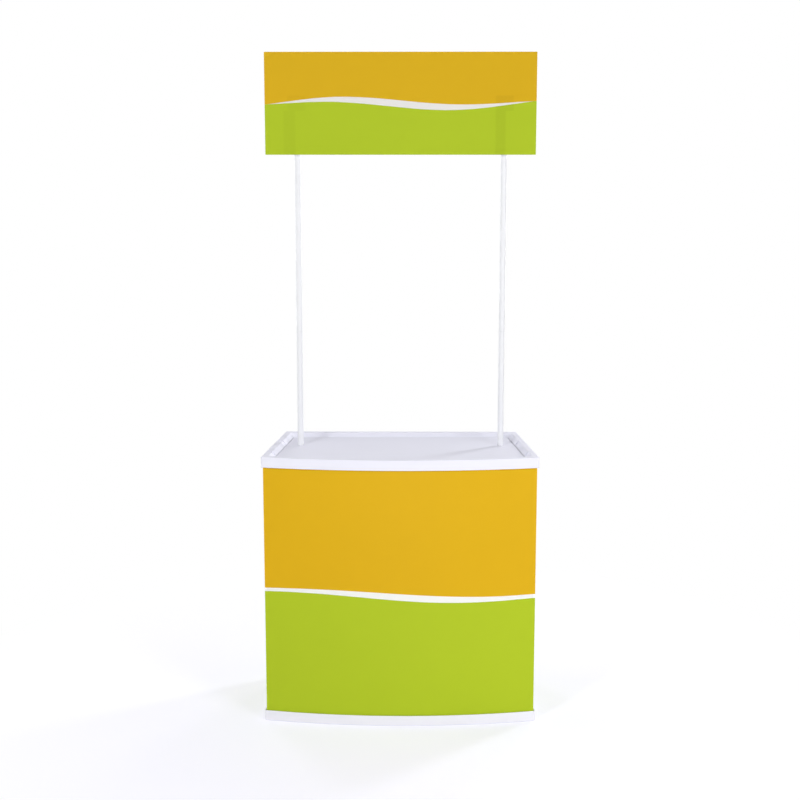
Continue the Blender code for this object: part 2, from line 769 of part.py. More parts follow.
def build_counter():
    """The base, the wrap, the shelf and the worktop."""
    base = moulding("base_tray")
    base.rotation_euler = (0, math.pi, 0)
    mount(base, (0, 0, 0))
    finish(base, WHITE, 0.45)

    wrap_stand = stand("wrap_stand", (0, 0, 0))
    panel = wrap_panel()
    mount(panel, (0, 0, 0), wrap_stand)
    finish(panel, SHEET_WHITE, 0.5)
    for film, colour in zip(wrap_films(), (ORANGE, GREEN)):
        mount(film, (0, 0, 0), wrap_stand)
        finish(film, colour, 0.35)
    for side, side_name in ((-1, "left"), (1, "right")):
        for share, end_name in zip(BRACKET_PLACE_SHARES, ("front", "rear")):
            angle = bracket(f"shelf_bracket_{side_name}_{end_name}", side, share)
            mount(angle, (0, 0, 0), wrap_stand)
            finish(angle, WHITE, 0.5)

    shelf_stand = stand("shelf_stand", (0, 0, SHELF_HEIGHT), wrap_stand)
    shelf_tray = shelf()
    mount(shelf_tray, (0, 0, SHELF_HEIGHT), shelf_stand)
    finish(shelf_tray, WHITE, 0.45)

    worktop_stand = stand("worktop_stand", (0, 0, WORKTOP_HEIGHT), wrap_stand)
    worktop = moulding("worktop_tray")
    mount(worktop, (0, 0, WORKTOP_HEIGHT), worktop_stand)
    finish(worktop, WHITE, 0.45)
    return shelf_stand


def build_pole(side, side_name, shelf_stand):
    """One pole: a plugged lower length with its spigot, and a plugged upper length."""
    foot = (side * POLE_X, POLE_Y, 0)
    half_collar = SPIGOT_COLLAR / 2 + FIT
    lower_stand = stand(f"{side_name}_lower_stand", foot, shelf_stand)
    lower = [
        pole_tube(f"{side_name}_lower_pole", POLE_FOOT + PLUG_CAP + FIT, POLE_JOINT_HEIGHT - half_collar),
        pole_plug(f"{side_name}_pole_foot_plug", POLE_FOOT, 1),
        pole_spigot(f"{side_name}_pole_spigot"),
    ]
    upper_stand = stand(f"{side_name}_upper_stand", foot, lower_stand)
    upper = [
        pole_tube(f"{side_name}_upper_pole", POLE_JOINT_HEIGHT + half_collar, POLE_TOP - PLUG_CAP - FIT),
        pole_plug(f"{side_name}_pole_top_plug", POLE_TOP, -1),
    ]
    for piece in lower:
        mount(piece, foot, lower_stand)
        finish(piece, POLE_WHITE, 0.35)
    for piece in upper:
        mount(piece, foot, upper_stand)
        finish(piece, POLE_WHITE, 0.35)
    return upper_stand


def build_header(upper_stand):
    """The sign: its board, films, clips and screws, which lift off the poles together."""
    header_stand = stand("header_stand", (0, POLE_Y, 0), upper_stand)
    board = header_board()
    mount(board, (0, POLE_Y, 0), header_stand)
    finish(board, BOARD_WHITE, 0.5)
    for film, colour in zip(header_films(), (ORANGE, GREEN)):
        mount(film, (0, POLE_Y, 0), header_stand)
        finish(film, colour, 0.35)
    for side, side_name in ((-1, "left"), (1, "right")):
        pole_x = side * POLE_X
        clip = header_clip(f"{side_name}_header_clip", side)
        mount(clip, (pole_x, POLE_Y, 0), header_stand)
        finish(clip, WHITE, 0.4)
        for place, end_name in zip(screw_places(side), ("upper", "lower")):
            screw = clip_screw(f"{side_name}_clip_{end_name}_screw")
            mount(screw, (pole_x + place[0], POLE_Y + CLIP_BACK, place[1]), header_stand)
            finish(screw, STEEL, 0.3, 1.0)


clear_scene()
PARTS = new_collection("exhibition_counter")
HOMES = {}
SHELF_STAND = build_counter()
LEFT_UPPER_STAND = build_pole(-1, "left", SHELF_STAND)
build_pole(1, "right", SHELF_STAND)
build_header(LEFT_UPPER_STAND)
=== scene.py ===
# %% [markdown]
# # An exhibition counter, dressed for its picture
#
# This lesson takes the counter's plain solids and gives each one the shape and finish that the real piece
# shows: soft moulded edges, a folded sheet with printed film, painted poles and a sign on clips. The solids
# come in as a frame. Each new piece is built in that frame, rides on the body that it belongs to, and stands
# in for the plain solid.

# %% Load the frame
import math

import bmesh
import bpy
from mathutils import Matrix, Vector


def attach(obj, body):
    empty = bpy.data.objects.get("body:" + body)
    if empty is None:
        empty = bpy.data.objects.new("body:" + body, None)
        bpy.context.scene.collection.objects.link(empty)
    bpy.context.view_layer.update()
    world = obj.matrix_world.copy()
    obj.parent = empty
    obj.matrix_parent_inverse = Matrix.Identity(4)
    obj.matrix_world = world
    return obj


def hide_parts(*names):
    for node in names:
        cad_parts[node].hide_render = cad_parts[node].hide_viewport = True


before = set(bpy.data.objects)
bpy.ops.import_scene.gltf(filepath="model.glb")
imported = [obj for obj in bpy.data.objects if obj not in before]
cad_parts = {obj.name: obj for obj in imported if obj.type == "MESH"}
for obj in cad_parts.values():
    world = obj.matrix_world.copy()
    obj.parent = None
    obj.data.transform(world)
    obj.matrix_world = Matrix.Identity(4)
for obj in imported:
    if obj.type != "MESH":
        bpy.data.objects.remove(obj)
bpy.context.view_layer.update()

# %% [markdown]
# ## The camera
#
# The photograph was taken from about eye height, four and a third metres in front of the counter, with a lens
# longer than normal. That keeps the poles almost parallel while a little of the worktop still shows. The
# camera stands there and looks down by the same angle, with the counter in the middle of its frame.

# %% Set up the camera
CAMERA_PLACE = (0.032, -4.326, 1.717)
LOOK_DOWN_DEGREES = 9.76
LOOK_LEFT_DEGREES = 0.44
LENS_MM = 63.8
SENSOR_MM = 36


def add(name, data):
    """Put a new object into the scene."""
    made = bpy.data.objects.new(name, data)
    bpy.context.scene.collection.objects.link(made)
    return made


camera = add("camera", bpy.data.cameras.new("camera"))
camera.location = CAMERA_PLACE
camera.rotation_euler = (math.radians(90 - LOOK_DOWN_DEGREES), 0, math.radians(LOOK_LEFT_DEGREES))
camera.data.lens = LENS_MM
camera.data.sensor_width = SENSOR_MM
bpy.context.scene.camera = camera
print("camera at", tuple(round(v, 3) for v in camera.location), "lens", camera.data.lens)

# %% [markdown]
# ## The footprint
#
# Every big piece of this counter follows one outline: a straight back, two straight sides that spread towards
# the front, and a front that bows out as part of a large circle. The skirts of the trays, the groove, the
# folded sheet and the shelf all run a fixed distance inside it. So the outline is worked out once, for any
# inset, which keeps every gap even.

# %% Measure the footprint
FRONT_WIDTH = 0.834
REAR_WIDTH = 0.750
SIDE_DEPTH = 0.404
FRONT_BOW = 0.045
WORKTOP_HEIGHT = 0.830
TOTAL_HEIGHT = 2.026

rear_y = (SIDE_DEPTH + FRONT_BOW) / 2
corner_y = rear_y - SIDE_DEPTH
apex_y = corner_y - FRONT_BOW
bow_radius = ((FRONT_WIDTH / 2) ** 2 + FRONT_BOW ** 2) / (2 * FRONT_BOW)
bow_centre_y = apex_y + bow_radius
side_run = Vector(((REAR_WIDTH - FRONT_WIDTH) / 2, SIDE_DEPTH)).normalized()
side_inward = Vector((-side_run.y, side_run.x))
side_length = math.hypot((FRONT_WIDTH - REAR_WIDTH) / 2, SIDE_DEPTH)
print("front bows on a radius of", round(bow_radius, 3), "m")


def side_point(inset, along):
    """A point on the right side, drawn in by the inset, at a distance along it from the front corner."""
    return Vector((FRONT_WIDTH / 2, corner_y)) + side_run * along + side_inward * inset


def side_meets_circle(inset, centre_y, radius):
    """Where the drawn-in right side meets a circle that bows to the front."""
    start = side_point(inset, 0)
    to_centre = Vector((0, centre_y)) - start
    across = to_centre.dot(side_inward)
    return start + side_run * (to_centre.dot(side_run) - math.sqrt(radius ** 2 - across ** 2))


def side_meets_bow(inset):
    """Where the drawn-in right side meets the drawn-in front."""
    return side_meets_circle(inset, bow_centre_y, bow_radius - inset)


def side_meets_rear(inset):
    """Where the drawn-in right side meets the drawn-in rear."""
    start = side_point(inset, 0)
    return start + side_run * ((rear_y - inset - start.y) / side_run.y)


# %% Draw the outline at any inset
BOW_STEPS = 36
CORNER_STEPS = 8


def arc(centre, radius, start, end, steps):
    """Points on an arc from one angle to another."""
    points = []
    for i in range(steps + 1):
        angle = start + (end - start) * i / steps
        points.append(Vector((centre[0] + radius * math.cos(angle), centre[1] + radius * math.sin(angle))))
    return points


def outline(inset, apex_inset, corner):
    """The footprint drawn in, anticlockwise from the rear left, with rounded corners.

    The front may be drawn in by another amount at its middle than at its corners.
    """
    front = side_meets_bow(inset)
    middle_y = apex_y + apex_inset
    bow = front.y - middle_y
    radius = (front.x ** 2 + bow ** 2) / (2 * bow)
    centre_y = middle_y + radius
    front_hub = side_meets_circle(inset + corner, centre_y, radius - corner)
    rear_hub = side_meets_rear(inset + corner)
    front_angle = math.atan2(front_hub.y - centre_y, front_hub.x)
    side_angle = math.atan2(-side_inward.y, -side_inward.x)
    half = arc((0, centre_y), radius, -math.pi / 2, front_angle, BOW_STEPS)
    half += arc(front_hub, corner, front_angle, side_angle, CORNER_STEPS)[1:]
    half += arc(rear_hub, corner, side_angle, math.pi / 2, CORNER_STEPS)
    return [Vector((-point.x, point.y)) for point in reversed(half[1:])] + half


print("points in an outline:", len(outline(0, 0, 0.004)))

# %% [markdown]
# ## Helpers for shapes
#
# Moulded and turned pieces are both a profile carried round something: an outline for a tray, an axis for a
# pole. Real edges are never quite sharp, and the thin highlight along a rounded edge makes a white object
# readable on a white ground. So a small curve rounds each corner of the profile first. It works on any numbers
# that ride along with the place.

# %% Round the corners of a profile
def soften(corners, reach, steps=3, closed=False):
    """Round a profile's corners, each by its own reach. A corner's first two numbers are its place."""
    count = len(corners)
    points = []
    for i, here in enumerate(corners):
        ends = not closed and i in (0, count - 1)
        if ends or reach[i] == 0:
            points.append(tuple(here))
            continue
        sides = []
        for other in (corners[i - 1], corners[(i + 1) % count]):
            length = math.dist(here[:2], other[:2])
            share = min(reach[i] / length, 0.45)
            sides.append([a + (b - a) * share for a, b in zip(here, other)])
        for step in range(steps + 1):
            t = step / steps
            points.append(tuple(
                (1 - t) ** 2 * a + 2 * t * (1 - t) * h + t ** 2 * b
                for a, h, b in zip(sides[0], here, sides[1])
            ))
    return points


print("a square's corner becomes", len(soften([(0, 0), (1, 0), (1, 1)], [0, 0.1, 0])) - 2, "points")


# %% Make bodies out of rings of points
def skin(work, rings):
    """Cover rings of as many points each with faces, and close the first and the last."""
    rows = [[work.verts.new(point) for point in ring] for ring in rings]
    count = len(rows[0])
    for first, second in zip(rows, rows[1:]):
        for i in range(count):
            j = (i + 1) % count
            work.faces.new((first[i], first[j], second[j], second[i]))
    work.faces.new(rows[0])
    work.faces.new(rows[-1])


def turn(work, profile, centre=(0, 0), steps=48):
    """Turn a profile of (radius, height) round an upright axis. It closes on itself or starts on the axis."""
    rows = []
    for radius, height in profile:
        angles = [math.tau * k / steps for k in range(steps if radius > 0 else 1)]
        rows.append([
            work.verts.new((centre[0] + radius * math.cos(a), centre[1] + radius * math.sin(a), height))
            for a in angles
        ])
    pairs = list(zip(rows, rows[1:]))
    if len(rows[0]) > 1:
        pairs.append((rows[-1], rows[0]))
    for first, second in pairs:
        for k in range(steps):
            ring = [first[k % len(first)], first[(k + 1) % len(first)],
                    second[(k + 1) % len(second)], second[k % len(second)]]
            corners = list(dict.fromkeys(ring))
            if len(corners) > 2:
                work.faces.new(corners)


def raised(points, height):
    """Plan points at a height."""
    return [(point[0], point[1], height) for point in points]


# %% [markdown]
# A piece is made in three moves: collect its faces, turn them all outwards, and shade the curves smooth while
# real edges stay crisp. Flat areas that end in a rounded edge need care. Smooth shading bends the light on
# the flat part too, so the Weighted Normal modifier gives large faces the say over small ones.

# %% Make an object, and cut or join one with another
def make(name, work):
    """Turn collected faces into an object, all of them outwards."""
    bmesh.ops.recalc_face_normals(work, faces=work.faces)
    mesh = bpy.data.meshes.new(name)
    work.to_mesh(mesh)
    work.free()
    return add(name, mesh)


def build(name, shape, *numbers):
    """A new piece out of the faces that one shape collects."""
    work = bmesh.new()
    shape(work, *numbers)
    return make(name, work)


def add_faces(made, work):
    """Add collected faces to a piece, as bodies of their own."""
    bmesh.ops.recalc_face_normals(work, faces=work.faces)
    work.from_mesh(made.data)
    work.to_mesh(made.data)
    work.free()


def shade(made, crease_degrees=40):
    """Shade a piece so that curves look smooth, edges crisp and large faces flat."""
    made.data.shade_smooth()
    made.data.set_sharp_from_angle(angle=math.radians(crease_degrees))
    even = made.modifiers.new("even shading", "WEIGHTED_NORMAL")
    even.keep_sharp = True
    even.weight = 80
    return made


def combine(target, tool, operation):
    """Join a tool to the target or cut it out, and keep the result as plain mesh."""
    step = target.modifiers.new(operation.lower(), "BOOLEAN")
    step.operation = operation
    step.object = tool
    bpy.context.view_layer.update()
    shaped = target.evaluated_get(bpy.context.evaluated_depsgraph_get())
    mesh = bpy.data.meshes.new_from_object(shaped)
    target.modifiers.clear()
    target.data = mesh
    bpy.data.objects.remove(tool)


def belongs(made, finish, slot, body, *nodes):
    """Give a piece its finish, its body, and the solids that it stands for."""
    made.data.materials.clear()
    made.data.materials.append(finish)
    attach(made, body)
    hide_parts(*nodes)
    print(made.name, "faces:", len(made.data.polygons), "rides on", body)


# %% [markdown]
# ## Shader maths as plain expressions
#
# A finish is a sum of small things: a base colour, faint clouds in the material, a fine grain in its surface.
# The first class wraps a node's output, so that `1 - mask * 0.2` adds the Math nodes by itself. The second
# holds the nodes of any tree, the world's too, and makes any other kind of node. The third is a material.

# %% Wrap a shader socket
def both_ways(operation):
    """An operator's two methods: one for a Flow on its left, and one for a Flow on its right only."""
    def forward(self, other):
        return self.maths(operation, self, other)

    def reflected(self, other):
        return self.maths(operation, other, self)

    return forward, reflected


class Flow:
    """A value that flows between nodes. Arithmetic on it adds Math nodes."""

    def __init__(self, wiring, socket):
        self.wiring = wiring
        self.socket = socket

    def maths(self, operation, *values):
        return self.wiring.node("Math", {"operation": operation}, dict(enumerate(values)))

    __add__, __radd__ = both_ways("ADD")
    __sub__, __rsub__ = both_ways("SUBTRACT")
    __mul__, __rmul__ = both_ways("MULTIPLY")

    def size(self):
        return self.maths("ABSOLUTE", self)

    def root(self):
        return self.maths("SQRT", self)

    def between(self, low, high):
        """0 below low, 1 above high, and a smooth step between them. low may be the higher."""
        if low > high:
            return 1 - self.between(high, low)
        settings = {"interpolation_type": "SMOOTHSTEP"}
        return self.wiring.node("MapRange", settings, {"Value": self, "From Min": low, "From Max": high})


# %% Make any node in a tree
class Wiring:
    """The nodes of one tree, with one method that makes any of them."""

    def __init__(self, tree):
        self.nodes = tree.nodes
        self.links = tree.links

    def feed(self, node, inputs):
        for name, value in inputs.items():
            socket = node.inputs[name.replace("_", " ") if isinstance(name, str) else name]
            if isinstance(value, Flow):
                self.links.new(value.socket, socket)
            else:
                socket.default_value = value

    def node(self, kind, settings=None, inputs=None, output=0):
        """Any node: its settings first, then the values or links of its sockets."""
        made = self.nodes.new("ShaderNode" + kind)
        for name, value in (settings or {}).items():
            setattr(made, name, value)
        self.feed(made, inputs or {})
        return Flow(self, made.outputs[output])

    def parts(self, vector):
        """The three numbers of a vector."""
        split = self.node("SeparateXYZ", inputs={0: vector}).socket.node
        return [Flow(self, split.outputs[i]) for i in range(3)]

    def looked_at(self):
        """1 for what the camera sees, by itself or through gloss or glass, and 0 for what only lights."""
        path = self.node("LightPath").socket.node
        rays = ("Is Camera Ray", "Is Glossy Ray", "Is Transmission Ray")
        return sum(Flow(self, path.outputs[name]) for name in rays).between(0, 1)


# %% Make a material
class Finish(Wiring):
    """A material with a Principled shader. Values that are the same all over go in with its name."""

    def __init__(self, name, **even):
        self.material = bpy.data.materials.new(name)
        self.material.use_nodes = True
        super().__init__(self.material.node_tree)
        self.shader = self.nodes["Principled BSDF"]
        self.feed(self.shader, even)
        self.place = self.node("TexCoord", output="Object")

    def mix(self, share, first, second):
        """A colour between two colours."""
        return self.node("Mix", {"data_type": "RGBA"}, {0: share, 6: first, 7: second}, output=2)

    def axes(self):
        """The three coordinates of the surface, in metres."""
        return self.parts(self.place)

    def noise(self, scale, detail=2.0, stretch=(1, 1, 1), roughness=0.5):
        """Noise from 0 to 1 with a number of features per metre, which may be stretched along an axis."""
        where = self.node("Mapping", inputs={"Vector": self.place, "Scale": stretch})
        inputs = {"Vector": where, "Scale": scale, "Detail": detail, "Roughness": roughness}
        return self.node("TexNoise", inputs=inputs)

    def dressed(self, colour, roughness, height, depth):
        """The finished material. Its surface rises by a height from 0 to 1 times the depth."""
        relief = self.node("Bump", inputs={"Height": height, "Distance": depth})
        self.feed(self.shader, {"Base Color": colour, "Roughness": roughness, "Normal": relief})
        return self.material


def shaded(colour, share):
    """A colour made darker, or lighter with a share above 1, as a shader wants it."""
    return tuple(min(value * share, 1.0) for value in colour) + (1.0,)


# %% [markdown]
# ## The finishes
#
# The trays and the clips are moulded in white plastic with a cool tint. Such plastic has a very fine pebbled
# surface, so its highlights spread, and large areas of it are never one even tone: it cools unevenly and picks
# up faint rubbing where goods slide over it. Noise at three scales gives those three things: clouds for the
# tone, streaks for the rubbing and grain for the surface.
#
# Three of the mouldings need a little more. The worktop has a thin line of painted shade in the fine groove
# where its short walls meet the floor. The base shows its ribbed side, which is painted greyer than its skirt
# as
# painted shade: the crests of the ribs get a painted highlight, and painted shade darkens the groove low where
# the wrap stands. The base's plastic is also painted a little lighter than the worktop's, as painted light. The
# shelf's floor is a little darker inward from its rim. These are masks made from a point's height and from how
# far it lies inside the outline.

# %% Finish: moulded white plastic
TRAY_WHITE = (0.835, 0.835, 0.934)
# The base is painted a little lighter than the worktop as painted light. Both are the same plastic.
BASE_WHITE_LIT = (0.885, 0.877, 0.965)
SHELF_WHITE = (0.85, 0.85, 0.872)
CLIP_WHITE = (0.80, 0.84, 0.93)
# the base's inside, painted greyer than its skirt as painted shade
FLOOR_SHADE_GREY = (0.765, 0.765, 0.800)
RIM = 0.0195
DRAFT = 0.0105
RECESS = 0.013
TRAY_WALL = 0.0022
RIB_HEIGHT = 0.0065
RIB_CREST = RECESS + TRAY_WALL + RIB_HEIGHT
# where the worktop's line of painted shade runs: its inset and its height
WORKTOP_SEAM_SHADE = (RIM + DRAFT + 0.002, WORKTOP_HEIGHT - RECESS)


def side_distance(x, y):
    """How far a point lies in from the nearer side."""
    return (x.size() - FRONT_WIDTH / 2) * side_inward.x + (y - corner_y) * side_inward.y


def outline_distance(x, y):
    """How far a point lies in from the nearest of the sides, the front and the rear."""
    ahead = y - bow_centre_y
    front = bow_radius - (x * x + ahead * ahead).root()
    return x.maths("MINIMUM", x.maths("MINIMUM", side_distance(x, y), front), rear_y - y)


def moulded_plastic(name, colour, seam_shade=None, ribbed=False, darker_from=None):
    finish = Finish(name, IOR=1.49, Specular_IOR_Level=0.08)
    x, y, z = finish.axes()
    clouds = finish.noise(5, detail=3)
    rubbing = finish.noise(16, detail=5, stretch=(1, 7, 7), roughness=0.7).between(0.52, 0.75)
    grain = finish.noise(1100, detail=1)
    tone = finish.mix(clouds, shaded(colour, 0.975), shaded(colour, 1.02))
    tone = finish.mix(rubbing * 0.05, tone, shaded(colour, 0.8))
    # Painted shade: a thin dark line along the fine groove at the foot of the worktop's short walls.
    if seam_shade:
        inset, height = seam_shade
        line = (side_distance(x, y) - inset).size().between(0.0034, 0.0012)
        line = line * (z - height).size().between(0.004, 0.003) * (y - 0.012).size().between(0.185, 0.165)
        tone = finish.mix(line * 0.55, tone, shaded(colour, 0.62))
    if ribbed:
        # Painted shade: the base's inside is greyer than its skirt.
        inside = outline_distance(x, y).between(0.0035, 0.0060)
        floor_shade = finish.mix(clouds, shaded(FLOOR_SHADE_GREY, 0.98), shaded(FLOOR_SHADE_GREY, 1.02))
        tone = finish.mix(inside, tone, floor_shade)
        # Painted highlight along the crests of the ribs.
        crest_highlight = z.between(RIB_CREST - 0.0045, RIB_CREST - 0.0025)
        crest_highlight = crest_highlight * z.between(RIB_CREST + 0.001, RIB_CREST + 0.0005)
        tone = finish.mix(inside * crest_highlight, tone, shaded(SHELF_WHITE, 1.18))
        # Painted shade low in the groove that the wrap stands in.
        tone = finish.mix(inside * z.between(0.0125, 0.0060) * 0.5, tone, shaded(colour, 0.6))
    # The shelf's floor is made a little darker inward from its rim.
    if darker_from:
        inner_floor = outline_distance(x, y).between(darker_from, darker_from + 0.012)
        tone = finish.mix(inner_floor * (0.75 + clouds * 0.5), tone, shaded(colour, 0.92))
    return finish.dressed(tone, 0.56 + clouds * 0.08 + rubbing * 0.10, grain * 0.7 + clouds * 0.3, 0.00006)


base_plastic = moulded_plastic("ribbed base plastic", BASE_WHITE_LIT, ribbed=True)
worktop_plastic = moulded_plastic("worktop plastic", TRAY_WHITE, seam_shade=WORKTOP_SEAM_SHADE)
shelf_plastic = moulded_plastic("shelf plastic", SHELF_WHITE, darker_from=0.014)
clip_plastic = moulded_plastic("moulded clip plastic", CLIP_WHITE)
plastics = (base_plastic, worktop_plastic, shelf_plastic, clip_plastic)
print("moulded plastics:", [made.name for made in plastics])

# %% [markdown]
# The wrap and the sign's board are extruded white sheet. Extruding leaves faint lines along the sheet, upright
# on the wrap and level on the board, and a surface that is smoother than the moulded plastic. The lines barely
# show in the colour, but they break up the highlight. Each crease of the wrap gets a thin painted highlight.
# Near the foot, where the wrap stands in the base's groove, it is painted paler along the front as painted
# light, and darker and warmer along the sides as painted shade. The board's front is painted lighter than its
# back, as painted light on one white sheet.

# %% Finish: extruded white sheet
WRAP_WHITE = (0.88, 0.88, 0.87)
# the colour of the painted shade along the foot of the wrap's sides
FOOT_SHADE = (0.70, 0.69, 0.66)
FILM_INSET = 0.005
CREASES = (side_meets_bow(FILM_INSET), side_meets_rear(FILM_INSET))


def near_crease(x, y, corner, far, near):
    """1 at an upright crease and 0 beyond a distance from it, for both sides of the counter."""
    across = x.size() - corner.x
    depth = y - corner.y
    return (across * across + depth * depth).root().between(far, near)


def extruded_sheet(name, colour, line_stretch, creases=(), foot_shade=None, lit_front=None):
    finish = Finish(name, IOR=1.5, Specular_IOR_Level=0.2)
    x, y, z = finish.axes()
    lines = finish.noise(160, detail=3, stretch=line_stretch)
    clouds = finish.noise(4, detail=2)
    tone = finish.mix(clouds, shaded(colour, 0.98), shaded(colour, 1.015))
    tone = finish.mix(lines.between(0.4, 0.8) * 0.12, tone, shaded(colour, 0.93))
    # A thin painted highlight along each crease.
    for corner in creases:
        tone = finish.mix(near_crease(x, y, corner, 0.0062, 0.0042), tone, shaded(colour, 1.2))
    if foot_shade:
        # Painted light makes the wrap's foot paler along the front, and painted shade makes it darker along the
        # sides.
        foot = z.between(0.048, 0.030)
        side = side_distance(x, y).between(0.012, 0.009)
        tone = finish.mix(foot * (1 - side), tone, shaded(colour, 1.2))
        tone = finish.mix(foot * side * 0.8, tone, shaded(foot_shade, 1))
    # Painted light: the board's front is lighter than the rest of the sheet.
    if lit_front:
        middle, lit_colour = lit_front
        tone = finish.mix(y.between(middle + 0.0003, middle - 0.0003), tone, shaded(lit_colour, 1))
    return finish.dressed(tone, 0.42 + lines * 0.14, lines, 0.00005)


wrap_sheet = extruded_sheet("white wrap sheet", WRAP_WHITE, (1, 1, 0.02), CREASES, FOOT_SHADE)
print("sheet:", wrap_sheet.name)

# %% [markdown]
# The colours are printed on film. Solid ink on film looks even from afar. Close up it has a fine grain, very
# faint bands across the printer's travel, and a satin coat. Along the wrap's four creases a thin paler line is
# painted in, as a painted highlight on the bend. Its mask is the distance from an upright line, with x taken
# without its sign, because the counter's sides are alike. The sign is thin, and the shadows of its clips and
# poles behind it are painted onto its films as faint painted shadows: plain boxes with soft edges in the plane
# of the sign.

# %% Finish: printed film
ORANGE = (0.713, 0.422, 0.0110)
GREEN = (0.435, 0.555, 0.0230)
SIGN_ORANGE = (0.633, 0.387, 0.0119)
SIGN_GREEN = (0.399, 0.515, 0.0219)
CLIP_TOP = TOTAL_HEIGHT - 0.129
CLIP_LOW = CLIP_TOP - 0.045
SHADE_LOW = TOTAL_HEIGHT - 0.31

# painted shadows of the clips and poles behind the sign
# each shade's middle, half its width, its low and high ends, and its strength
SIGN_SHADES = (
    (0.315, 0.027, CLIP_LOW, CLIP_TOP, 0.24),
    (-0.315, 0.027, CLIP_LOW, CLIP_TOP, 0.14),
    (0.303, 0.015, SHADE_LOW, CLIP_LOW, 0.26),
    (-0.337, 0.018, SHADE_LOW, CLIP_LOW, 0.17),
)


def printed_film(name, colour, creases=(), shades=()):
    finish = Finish(name, IOR=1.5, Specular_IOR_Level=0.06, Coat_Weight=0.01, Coat_Roughness=0.3)
    x, y, z = finish.axes()
    grain = finish.noise(2600, detail=1)
    bands = finish.noise(60, detail=2, stretch=(0.05, 0.05, 1))
    clouds = finish.noise(2.5, detail=2)
    tone = finish.mix(clouds, shaded(colour, 0.97), shaded(colour, 1.03))
    tone = finish.mix(bands * 0.05 + grain * 0.05, tone, shaded(colour, 0.85))
    for corner in creases:
        # A thin painted highlight along each crease.
        crease_highlight = near_crease(x, y, corner, 0.0026, 0.0012) * (0.35 + 0.3 * finish.noise(240, detail=3))
        tone = finish.mix(crease_highlight, tone, shaded([value + 0.02 for value in colour], 1.3))
    # Painted shadows of the clips and poles that stand behind the sign.
    for middle, half, low, high, share in shades:
        across = (x - middle).size().between(half + 0.004, half - 0.004)
        along = z.between(low - 0.002, low + 0.002) * z.between(high + 0.002, high - 0.002)
        tone = finish.mix(across * along * share, tone, shaded(colour, 0.7))
    return finish.dressed(tone, 0.36 + grain * 0.10 + clouds * 0.06, grain, 0.00003)


wrap_orange = printed_film("orange wrap film", ORANGE, CREASES)
wrap_green = printed_film("green wrap film", GREEN, CREASES)
sign_orange = printed_film("orange sign film", SIGN_ORANGE, shades=SIGN_SHADES)
sign_green = printed_film("green sign film", SIGN_GREEN, shades=SIGN_SHADES)
print("creases at", [tuple(round(v, 4) for v in corner) for corner in CREASES])

# %% [markdown]
# The poles are thin tubes with white satin paint. Paint on a drawn tube keeps a trace of the drawing lines
# along it, and has a fine pebble of its own.

# %% Finish: painted tube
def painted_tube(name, colour):
    finish = Finish(name, IOR=1.5, Specular_IOR_Level=0.3, Coat_Weight=0.08, Coat_Roughness=0.3)
    drawn = finish.noise(420, detail=2, stretch=(1, 1, 0.015))
    pebble = finish.noise(1500, detail=1)
    clouds = finish.noise(9, detail=2, stretch=(1, 1, 0.3))
    tone = finish.mix(clouds, shaded(colour, 0.97), shaded(colour, 1.02))
    tone = finish.mix(drawn * 0.08, tone, shaded(colour, 0.9))
    return finish.dressed(tone, 0.38 + pebble * 0.08 + clouds * 0.05, pebble * 0.6 + drawn * 0.4, 0.00001)


POLE_WHITE = (0.825, 0.83, 0.86)
pole_paint = painted_tube("white pole paint", POLE_WHITE)
print("paint:", pole_paint.name)

# %% [markdown]
# Two more finishes are for small pieces. The spigots and plugs are turned plastic, with fine rings across
# their axis. The clip screws are plated steel: metallic, with a brushed look that changes over the head.

# %% Finish: turned plastic and plated steel
def turned_plastic(name, colour):
    finish = Finish(name, IOR=1.49, Specular_IOR_Level=0.4)
    rings = finish.noise(900, detail=2, stretch=(0.02, 0.02, 1))
    clouds = finish.noise(40, detail=2)
    tone = finish.mix(clouds, shaded(colour, 0.96), shaded(colour, 1.02))
    tone = finish.mix(rings * 0.15, tone, shaded(colour, 0.85))
    return finish.dressed(tone, 0.38 + rings * 0.15, rings, 0.00006)


def plated_steel(name, colour):
    finish = Finish(name, Metallic=1.0)
    brushed = finish.noise(2500, detail=3, stretch=(1, 1, 0.1))
    stains = finish.noise(500, detail=2)
    tone = finish.mix(stains, shaded(colour, 0.8), shaded(colour, 1.05))
    return finish.dressed(tone, 0.25 + brushed * 0.2, brushed, 0.00002)


PLUG_WHITE = (0.80, 0.81, 0.84)
STEEL = (0.55, 0.55, 0.57)
plug_plastic = turned_plastic("turned white plastic", PLUG_WHITE)
screw_steel = plated_steel("plated steel", STEEL)
print("small finishes:", plug_plastic.name, "and", screw_steel.name)

# %% [markdown]
# ## The moulded trays
#
# The base and the worktop come out of one mould. Its section, from the middle outwards, is a flat floor, a
# sloping wall up to a flat rim, a rounded outer edge, a skirt, and then the underside back to the middle. Each
# corner of it holds its inset and its height, how much further in the front's middle lies, and the radius of
# the outline's corners there. The rounding helper carries all four numbers, so the section blends from the
# crisp outer edge to the rounder recess by itself.

# %% Describe a tray's section
SKIRT_HEIGHT = 0.032
SKIRT_WALL = 0.0025


